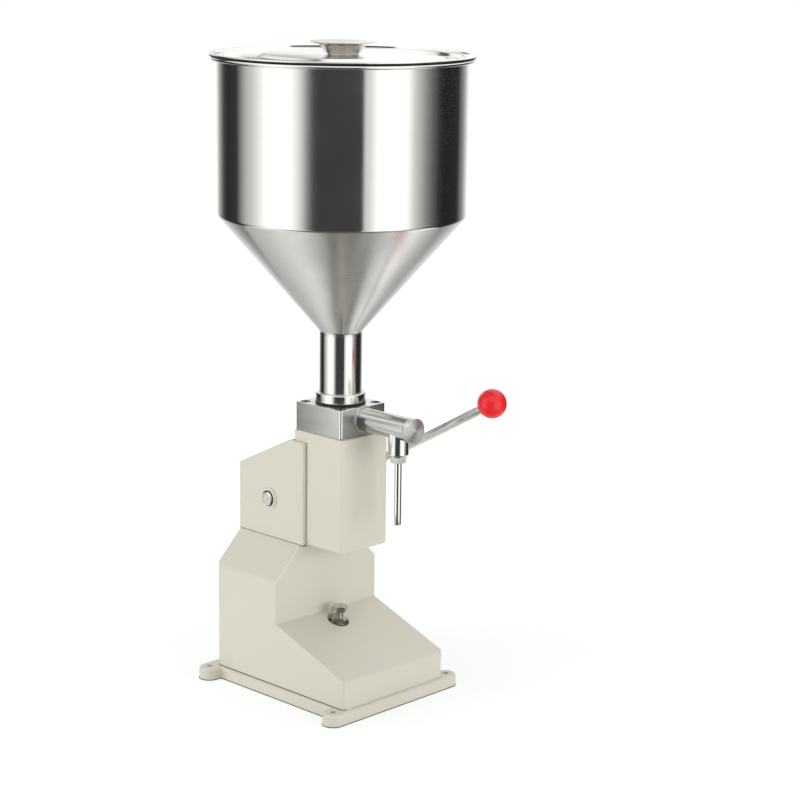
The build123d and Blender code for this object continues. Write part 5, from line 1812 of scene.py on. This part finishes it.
    def build(self) -> None:
        """Shapes and seats all the outlet's pieces."""
        seat, turn = self.fitter.seat, self.fitter.turn
        tube, cap = self.tube_mesh(), self.cap_profile()
        seat("outlet_branch", tube, MACHINE_AXIS, "frame", BRUSHED_ROUND.slot, "outlet_tube")
        root = Seat(0.0, self.root_y - self.ripple_reach, self.axis_height, turn_x=90.0)
        seat("outlet_weld", self.weld_mesh(), root, "frame", WELD.slot)
        cap_seat = Seat(0.0, self.end_y - self.seal_thickness, self.axis_height, turn_x=90.0)
        turn("tube_cap_turned", cap, CAP_FACE, cap_seat, "frame", "tube_cap", segments=FINE)
        nozzle_seat = Seat(0.0, self.spout_y)
        nut = hex_body(
            self.nut_flats,
            self.spout_bottom - self.nut_height,
            self.spout_bottom,
            dressed(GLAND, nozzle_seat),
            bore=self.nozzle_radius + PLAY,
            turn=self.nut_turn,
        )
        seat("gland_nut", nut, nozzle_seat, "frame", GLAND.slot, "nozzle_nut")
        nozzle = self.nozzle_profile()
        turn("nozzle_drawn", nozzle, POLISHED, nozzle_seat, "frame", "nozzle_tube", segments=SMALL)


@dataclass
class Lever(Assembly):
    """Shaft, hub, round lever with its lock nut, and the red ball."""

    plane_x: float = 65.0
    shaft_y: float = 71.0
    shaft_z: float = 215.0
    rest_angle: float = 29.2
    length: float = 272.0
    rod_radius: float = 5.0
    ball_radius: float = 16.0
    ball_flat: float = 13.8
    hub_left: float = 46.3
    hub_length: float = 34.0
    hub_radius: float = 15.0
    shaft_radius: float = 8.0
    shaft_left: float = -46.8
    nut_flats: float = 17.0
    nut_height: float = 6.0
    gap_radius: float = 9.2
    gap_face: float = -44.6
    face_depth: float = 0.3
    face_overlap: float = 0.1
    gap_depth: float = 1.0
    rod_start: float = 9.0
    centre_hole: float = 1.6
    shaft_chamfer: float = 1.0
    hub_chamfer: float = 1.5
    mouth_play: float = 0.1
    mouth_ease: float = 0.4
    mouth_width: float = 0.5
    bore_foot: float = -2.0
    bore_top: float = 2.2
    flat_share: float = 1.35
    ball_steps: int = 48

    def rod_seat(self) -> Seat:
        """Seat on the shaft's axis, along the lever."""
        return Seat(self.plane_x, self.shaft_y, self.shaft_z, turn_x=90.0 - self.rest_angle)

    def cross_seat(self, x: float) -> Seat:
        """Seat on the shaft's axis, along +X from a place."""
        return Seat(x, self.shaft_y, self.shaft_z, turn_y=90.0)

    def rod_profile(self) -> list[Point]:
        """Lever rod with eased ends.

        Returns:
            The profile, from the axis outwards and back to it.
        """
        radius = self.rod_radius
        corners = [
            Corner(0.0, self.rod_start),
            Corner(radius, self.rod_start, 0.8),
            Corner(radius, self.length, 0.8),
            Corner(0.0, self.length),
        ]
        return rounded(corners)

    def ball_profile(self) -> list[Point]:
        """Ball with a flat, an eased mouth where the rod enters and the rod's blind bore.

        Returns:
            The closed profile round the ball's middle.
        """
        radius, flat, ease = self.ball_radius, self.ball_flat, self.mouth_ease
        mouth = self.rod_radius + self.mouth_play
        rim = sqrt(radius ** 2 - flat ** 2)
        points = [(mouth, self.bore_foot), (mouth, -flat + ease)]
        points += [(mouth + self.mouth_width, -flat), (rim - ease, -flat)]
        start = -pi / 2.0 + pi * 0.5 * (1.0 - flat / radius) * self.flat_share
        for step in range(self.ball_steps + 1):
            angle = start + (pi / 2.0 - start) * step / self.ball_steps
            points.append((radius * cos(angle), radius * sin(angle)))
        points[-1] = (0.0, radius)
        return points + [(0.0, self.bore_top), (mouth, self.bore_top), points[0]]

    def shaft_profile(self) -> list[Point]:
        """Shaft with chamfered ends and a centre hole in each.

        Returns:
            The profile, from the axis outwards and back to it.
        """
        length = self.hub_left + self.hub_length - self.shaft_left
        radius, face = self.shaft_radius, self.face_depth
        hole, chamfer = self.centre_hole, self.shaft_chamfer
        corners = [
            Corner(0.0, hole),
            Corner(hole, face, 0.2),
            Corner(radius - chamfer, face, 0.2),
            Corner(radius, chamfer, 0.2),
            Corner(radius, length - chamfer, 0.2),
            Corner(radius - chamfer, length, 0.2),
            Corner(hole, length, 0.2),
            Corner(0.0, length - hole),
        ]
        return rounded(corners)

    def face_profile(self) -> list[Point]:
        """Faced end of the shaft round its centre hole."""
        radii = (self.centre_hole, self.shaft_radius - self.shaft_chamfer + self.face_overlap)
        return band(radii, (0.0, self.face_depth + self.face_overlap), (0.1, 0.1, 0.0, 0.0))

    def gap_profile(self) -> list[Point]:
        """Dark ring round the shaft at the painted flange: painted shade for the shadow in the gap
        between shaft and bush.
        """
        radii = (self.shaft_radius + PLAY, self.gap_radius)
        return band(radii, (0.0, self.gap_depth), (0.0, 0.2, 0.0, 0.0))

    def hub_profile(self) -> list[Point]:
        """Hub with chamfered ends.

        Returns:
            The closed profile.
        """
        bore, radius, length = self.shaft_radius, self.hub_radius, self.hub_length
        chamfer = self.hub_chamfer
        corners = [
            Corner(bore, 0.0, 0.3),
            Corner(radius - chamfer, 0.0, 0.3),
            Corner(radius, chamfer, 0.3),
            Corner(radius, length - chamfer, 0.3),
            Corner(radius - chamfer, length, 0.3),
            Corner(bore, length, 0.3),
        ]
        return rounded(corners, closed=True)

    def build(self) -> None:
        """Turns and seats the lever's pieces and the dark ring of painted shade at the shaft, and gives
        the bush flanges that show their ivory paint, lightened as a painted highlight.
        """
        turn, seat, rod_seat = self.fitter.turn, self.fitter.seat, self.rod_seat()
        hub_seat, gap_seat = self.cross_seat(self.hub_left), self.cross_seat(self.gap_face)
        shaft_seat = self.cross_seat(self.shaft_left)
        turn("lever_bar", self.rod_profile(), DRAWN, rod_seat, "lever", "lever_rod", segments=COARSE)
        turn("lever_hub_turned", self.hub_profile(), TURNED, hub_seat, "lever", "lever_hub")
        turn("shaft_turned", self.shaft_profile(), POLISHED, shaft_seat, "lever", "pivot_shaft")
        turn("shaft_face", self.face_profile(), FACED, shaft_seat, "lever")
        # A dark ring that paints the shadow in the gap round the shaft.
        turn("shaft_gap_ring", self.gap_profile(), RUBBER, gap_seat, "frame")
        nut = hex_body(
            self.nut_flats,
            self.hub_radius,
            self.hub_radius + self.nut_height,
            dressed(ZINC, rod_seat),
            bore=self.rod_radius,
        )
        seat("lever_lock_nut", nut, rod_seat, "lever", ZINC.slot, "lever_nut")
        ball = self.fitter.lathe.turn(self.ball_profile(), dressed(RED_PLASTIC, rod_seat), FINE)
        ball.transform(Matrix.Translation((0.0, 0.0, self.length)))
        seat("ball_moulded", ball, rod_seat, "lever", RED_PLASTIC.slot, "ball_knob")
        # The flanges' ivory paint is lightened: a painted highlight.
        for node in ("shaft_bush_left", "shaft_bush_right"):
            self.fitter.dress_node(node, IVORY_FLANGE_HIGHLIGHT)
        self.fitter.dress_node("thrust_washer", MACHINED)


@dataclass
class StrokeStop(Assembly):
    """Hexagon bolt under the piston's rod, and the lock nut on the casting."""

    flats: float = 16.0
    head_top: float = 95.6
    head_height: float = 6.4
    length: float = 76.0
    thread_radius: float = 5.0
    pitch: float = 1.5
    thread_depth: float = 0.85
    nut_bottom: float = 73.0
    nut_height: float = 8.0
    pocket_radius: float = 12.4
    pocket_y: float = 1.5
    ring_inner: float = 8.8
    ring_height: float = 0.3

    def ring_profile(self) -> list[Point]:
        """Thin dark ring on the pocket's floor round the nut: painted shadow of the deep pocket."""
        heights = (self.nut_bottom, self.nut_bottom + self.ring_height)
        return band((self.ring_inner, self.pocket_radius), heights, (0.0, 0.0, 0.1, 0.1))

    def build(self) -> None:
        """Shapes and seats the bolt with its thread, the nut, and the dark ring of painted shadow in
        the pocket.
        """
        metal = dressed(DULL_ZINC, MACHINE_AXIS)
        neck = self.head_top - self.head_height
        head = hex_body(self.flats, neck, self.head_top, metal, double_chamfer=False)
        self.fitter.seat("bolt_head", head, MACHINE_AXIS, "adjuster", ZINC.slot, "adjusting_bolt")
        length = self.length - self.head_height
        thread = self.fitter.thread_cutter.shape(
            bpy.data.meshes.new("bar"),
            metal,
            Radius=self.thread_radius,
            Depth=self.thread_depth,
            Pitch=self.pitch,
            Length=length,
        )
        foot = Seat(z=self.head_top - self.length)
        self.fitter.seat("bolt_thread", thread, foot, "adjuster", ZINC.slot, "adjusting_bolt")
        nut_top, bore = self.nut_bottom + self.nut_height, self.thread_radius + PLAY
        nut = hex_body(self.flats, self.nut_bottom, nut_top, metal, bore=bore)
        self.fitter.seat("lock_nut_hex", nut, MACHINE_AXIS, "frame", ZINC.slot, "lock_nut")
        pocket = Seat(y=self.pocket_y)
        self.fitter.turn("pocket_ring", self.ring_profile(), POCKET_SHADE, pocket, "frame")


@dataclass
class InnerWorks(Assembly):
    """The CAD nodes that stay as they are, inside the machine or under it."""

    def finishes(self) -> dict[Finish, tuple[str, ...]]:
        """The nodes that wear each finish.

        Returns:
            The nodes' names by finish.
        """
        return {
            MACHINED: (
                "piston_barrel", "piston_head", "piston_rod", "crosshead_pin", "shaft_keys",
                "crank_arm", "inlet_seat", "inlet_poppet", "outlet_seat", "outlet_ball",
            ),
            ZINC: (
                "base_screws", "tower_screws", "case_screws", "stem_nut", "piston_nut", "pin_clips",
                "shaft_circlip", "arm_set_screw", "hub_set_screw",
            ),
            WIRE: ("inlet_spring", "outlet_spring"),
            BRONZE: ("rod_guide_bush", "ball_insert"),
            RUBBER: ("barrel_gasket", "collar_seal", "piston_seals"),
            WHITE_SEAL: ("cap_seal", "nozzle_seal"),
        }

    def build(self) -> None:
        """Dresses the nodes."""
        for finish, nodes in self.finishes().items():
            for node in nodes:
                self.fitter.dress_node(node, finish)
            LOG.info("%s on %d nodes", finish.name, len(nodes))


# Studio


@dataclass(frozen=True)
class Softbox:
    """A large square lamp that looks at the machine."""

    name: str
    azimuth: float
    height: float
    distance: float
    width: float
    power: float


@dataclass(frozen=True)
class Card:
    """A turned card round the machine: its profile in metres, and its brightness by bearing.

    Bearings are in degrees, from the camera's side towards the picture's right.
    """

    name: str
    profile: tuple[Point, ...]
    stops: tuple[Point, ...]


CARD_RADIUS = 0.85
WALL_FOOT = -0.12
WALL_TOP = 0.78
SKY_TOP = 1.6
DARK_RADIUS = 0.42
PIT_RADIUS = 0.12
PIT_RIM = -0.515
PIT_FLOOR = -0.6
WHITE = (1.0, 1.0, 1.0, 1.0)
WALL_CARD = Card(
    "wall_card",
    ((CARD_RADIUS, WALL_FOOT), (CARD_RADIUS, WALL_TOP)),
    (
        (-180.0, 1.10), (-152.0, 0.85), (-142.0, 0.42), (-129.0, 0.07), (-120.0, 0.03), (-103.0, 0.04),
        (-96.0, 0.30), (-90.0, 0.54), (-82.0, 0.72), (-75.0, 0.97), (-68.0, 1.30), (-50.0, 1.40),
        (-42.0, 1.30), (-37.0, 1.02), (-32.0, 0.66), (-27.5, 0.28), (-23.0, 0.085), (-18.0, 0.05),
        (18.5, 0.055), (21.0, 0.75), (25.5, 0.88), (31.0, 1.30), (57.5, 1.38), (66.5, 0.72),
        (79.0, 0.28), (86.0, 0.14), (94.0, 0.04), (102.0, 0.02), (125.0, 0.03), (140.0, 0.35),
        (152.0, 0.80), (180.0, 1.10),
    ),
)
BOWL_CARD = Card(
    "bowl_card",
    ((PIT_RADIUS, PIT_RIM), (CARD_RADIUS, WALL_FOOT)),
    (
        (-180.0, 0.85), (-152.0, 0.60), (-134.0, 0.58), (-120.0, 0.66), (-107.0, 0.84), (-98.0, 1.10),
        (-91.0, 1.30), (-86.0, 1.12), (-80.0, 0.90), (-74.0, 0.74), (-66.0, 0.54), (-56.0, 0.34),
        (-45.0, 0.14), (40.0, 0.14), (52.0, 0.28), (65.0, 0.38), (84.0, 0.44), (92.0, 0.48),
        (96.0, 0.95), (103.0, 1.10), (109.0, 1.45), (115.0, 1.65), (119.0, 1.15), (123.0, 0.60),
        (129.0, 0.50), (143.0, 0.48), (164.0, 0.72), (180.0, 1.05),
    ),
)
PIT_CARD = Card(
    "pit_card", ((0.0, PIT_FLOOR), (PIT_RADIUS, PIT_RIM)), ((-180.0, 0.30), (180.0, 0.30))
)
SKY_CARD = Card(
    "sky_card",
    ((CARD_RADIUS, WALL_TOP), (CARD_RADIUS, SKY_TOP)),
    (
        (-180.0, 1.25), (-174.0, 0.60), (-169.0, 0.15), (-163.0, 0.90), (-155.0, 1.20), (-133.0, 1.10),
        (-127.0, 0.12), (-115.0, 0.12), (-108.0, 0.90), (-90.0, 1.20), (180.0, 1.25),
    ),
)
HALO_CARD = Card(
    "halo_card", ((CARD_RADIUS, SKY_TOP), (DARK_RADIUS, SKY_TOP)), ((-180.0, 1.25), (180.0, 1.25))
)
CEILING_CARD = Card(
    "ceiling_card", ((DARK_RADIUS, SKY_TOP), (0.0, SKY_TOP)), ((-180.0, 0.04), (180.0, 0.04))
)
STUDIO_CARDS = (WALL_CARD, BOWL_CARD, PIT_CARD, SKY_CARD, HALO_CARD, CEILING_CARD)


@dataclass
class Studio:
    """Pale floor, soft lamps, the cards that bare metal mirrors, and the camera."""

    camera_place: tuple[float, float, float] = (-1.62236, -1.65756, 0.86297)
    camera_yaw: float = 0.803067
    camera_pitch: float = 0.224012
    camera_roll: float = 0.013198
    lens: float = 96.5846
    sensor_width: float = 36.0
    clip_end: float = 50.0
    floor_half: float = 4.0
    floor_cloud: float = 3.0
    floor_dark: Colour = (0.84, 0.84, 0.84)
    floor_light: Colour = (0.86, 0.86, 0.86)
    glow_share: float = 0.5
    card_tint: Colour = (1.0, 0.99, 0.97)
    near_glow: float = 1.3
    far_glow: float = 1.8
    far_distance: float = 2.5
    ambient: float = 0.55
    target_height: float = 0.35
    lamps: tuple[Softbox, ...] = (
        Softbox("softbox_left", -72.0, 0.55, 1.9, 1.3, 18.0),
        Softbox("softbox_right", 48.0, 0.3, 1.9, 1.3, 20.0),
        Softbox("softbox_top", 160.0, 2.2, 0.6, 1.6, 6.0),
    )

    def view_axes(self) -> tuple[Vector, Vector, Vector]:
        """The camera's right, up and backward directions.

        Returns:
            The three directions.
        """
        yaw, pitch, roll = self.camera_yaw, self.camera_pitch, self.camera_roll
        ahead = Vector((sin(yaw) * cos(pitch), cos(yaw) * cos(pitch), -sin(pitch)))
        level = Vector((cos(yaw), -sin(yaw), 0.0))
        up = level.cross(ahead)
        right = level * cos(roll) + up * sin(roll)
        return right, up * cos(roll) - level * sin(roll), -ahead

    def place_camera(self) -> None:
        """Makes the camera of the photograph."""
        camera = linked("camera", bpy.data.cameras.new("camera"))
        camera.data.sensor_width = self.sensor_width
        camera.data.lens = self.lens
        camera.data.clip_end = self.clip_end
        rotation = Matrix(self.view_axes()).transposed().to_4x4()
        camera.matrix_world = Matrix.Translation(self.camera_place) @ rotation
        bpy.context.scene.camera = camera

    def card_directions(self) -> tuple[Vector, Vector]:
        """Level directions towards the camera and towards the picture's right."""
        towards = Vector((-sin(self.camera_yaw), -cos(self.camera_yaw), 0.0))
        return towards, Vector((cos(self.camera_yaw), -sin(self.camera_yaw), 0.0))

    def bare_material(self, name: str) -> tuple[Material, Graph]:
        """Makes a material without any node.

        Args:
            name: The material's name.

        Returns:
            The material and its graph.
        """
        material = bpy.data.materials.new(name)
        material.use_nodes = True
        graph = Graph(material.node_tree)
        graph.tree.nodes.clear()
        return material, graph

    def lay_floor(self) -> None:
        """Lays the floor, which stays white around the machine's soft shadow."""
        half = self.floor_half
        mesh = bpy.data.meshes.new("floor")
        corners = [(-half, -half, 0.0), (half, -half, 0.0), (half, half, 0.0), (-half, half, 0.0)]
        mesh.from_pydata(corners, [], [(0, 1, 2, 3)])
        floor = linked("floor", mesh)
        material, graph = self.bare_material("pale_floor")
        cloud = graph.noise(graph.seated(MACHINE_AXIS), self.floor_cloud)
        grey = graph.blend(cloud, self.floor_dark, self.floor_light)
        matt = graph.node("ShaderNodeBsdfDiffuse", {"Color": grey}).outputs[0]
        length = graph.node("ShaderNodeVectorMath", {0: graph.place()}, operation="LENGTH")
        reach = {"From Min": 0.0, "From Max": self.far_distance}
        glow = {"To Min": self.near_glow, "To Max": self.far_glow}
        inputs = {"Value": length.outputs["Value"], **reach, **glow}
        strength = graph.node("ShaderNodeMapRange", inputs).outputs[0]
        white = graph.node("ShaderNodeEmission", {"Color": WHITE, "Strength": strength}).outputs[0]
        ray = graph.node("ShaderNodeLightPath").outputs
        seen = graph.math("MAXIMUM", ray["Is Camera Ray"], ray["Is Transmission Ray"])
        share = graph.times(seen, self.glow_share)
        mixed = graph.node("ShaderNodeMixShader", {0: share, 1: matt, 2: white})
        graph.node("ShaderNodeOutputMaterial", {"Surface": mixed.outputs[0]})
        mesh.materials.append(material)
        floor.visible_glossy = False

    def card_material(self, card: Card) -> Material:
        """Material that glows by bearing from the machine's axis.

        Args:
            card: The card that wears it.

        Returns:
            The material.
        """
        material, graph = self.bare_material(card.name)
        place = graph.place()
        towards, right = self.card_directions()
        bearing = graph.math("ARCTAN2", graph.dot(place, right), graph.dot(place, towards))
        part = graph.math("ADD", graph.math("DIVIDE", bearing, 2.0 * pi), 0.5)
        ramp = graph.node("ShaderNodeValToRGB", {"Fac": part})
        stops = ramp.color_ramp.elements
        for angle, grey in card.stops:
            position = angle / 360.0 + 0.5
            ends = {0.0: stops[0], 1.0: stops[-1]}
            stop = ends[position] if position in ends else stops.new(position)
            stop.color = (*(grey * channel for channel in self.card_tint), 1.0)
        glow = graph.node("ShaderNodeEmission", {"Color": ramp.outputs[0], "Strength": 1.0}).outputs[0]
        graph.node("ShaderNodeOutputMaterial", {"Surface": glow})
        material.cycles.emission_sampling = "NONE"
        return material

    def hang_card(self, card: Card) -> None:
        """Hangs a card that only mirrored rays can see.

        Args:
            card: The card.
        """
        rings = [plain_ring(radius, height, RING_STEPS) for radius, height in card.profile]
        shown = linked(card.name, skinned(rings, self.card_material(card)))
        for ray in ("camera", "diffuse", "transmission", "volume_scatter", "shadow"):
            setattr(shown, f"visible_{ray}", False)

    def light_world(self) -> None:
        """Lights the world evenly and shows it white to the camera and to mirrored rays."""
        world = bpy.data.worlds.new("studio")
        bpy.context.scene.world = world
        world.use_nodes = True
        graph = Graph(world.node_tree)
        graph.tree.nodes.clear()
        ray = graph.node("ShaderNodeLightPath").outputs
        seen = graph.math("MAXIMUM", ray["Is Camera Ray"], ray["Is Transmission Ray"])
        seen = graph.math("MAXIMUM", seen, ray["Is Glossy Ray"])
        lift = graph.times(seen, 1.0 - self.ambient)
        strength = graph.math("ADD", lift, self.ambient)
        back = graph.node("ShaderNodeBackground", {"Color": WHITE, "Strength": strength})
        graph.node("ShaderNodeOutputWorld", {"Surface": back.outputs[0]})

    def place_lamps(self) -> None:
        """Places the softboxes, which bare metal doesn't mirror."""
        towards, right = self.card_directions()
        target = Vector((0.0, 0.0, self.target_height))
        for box in self.lamps:
            angle = radians(box.azimuth)
            level = towards * cos(angle) + right * sin(angle)
            place = level * box.distance + Vector((0.0, 0.0, box.height))
            lamp = linked(box.name, bpy.data.lights.new(box.name, "AREA"))
            lamp.data.size = box.width
            lamp.data.energy = box.power
            turn = (place - target).to_track_quat("Z", "Y").to_matrix().to_4x4()
            lamp.matrix_world = Matrix.Translation(place) @ turn
            lamp.visible_glossy = False
            lamp.visible_camera = False

    def build(self) -> None:
        """Sets up the whole studio."""
        self.place_camera()
        self.lay_floor()
        for card in STUDIO_CARDS:
            self.hang_card(card)
        self.light_world()
        self.place_lamps()
        bpy.context.scene.view_settings.view_transform = "Standard"
        LOG.info("studio: %d lamps", len(self.lamps))


def main() -> None:
    """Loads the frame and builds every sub-assembly in order."""
    logging.basicConfig(level=logging.INFO, format="%(name)s: %(message)s")
    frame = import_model()
    Studio().build()
    fitter = Fitter(frame)
    assemblies = (Castings, SeamShadowsAndEdgeHighlight, Hopper, Lid, ValveBlock, Outlet, Lever, StrokeStop, InnerWorks)
    for assembly in assemblies:
        LOG.info("building %s", assembly.__name__)
        assembly(fitter).build()


if __name__ == "__main__":
    main()
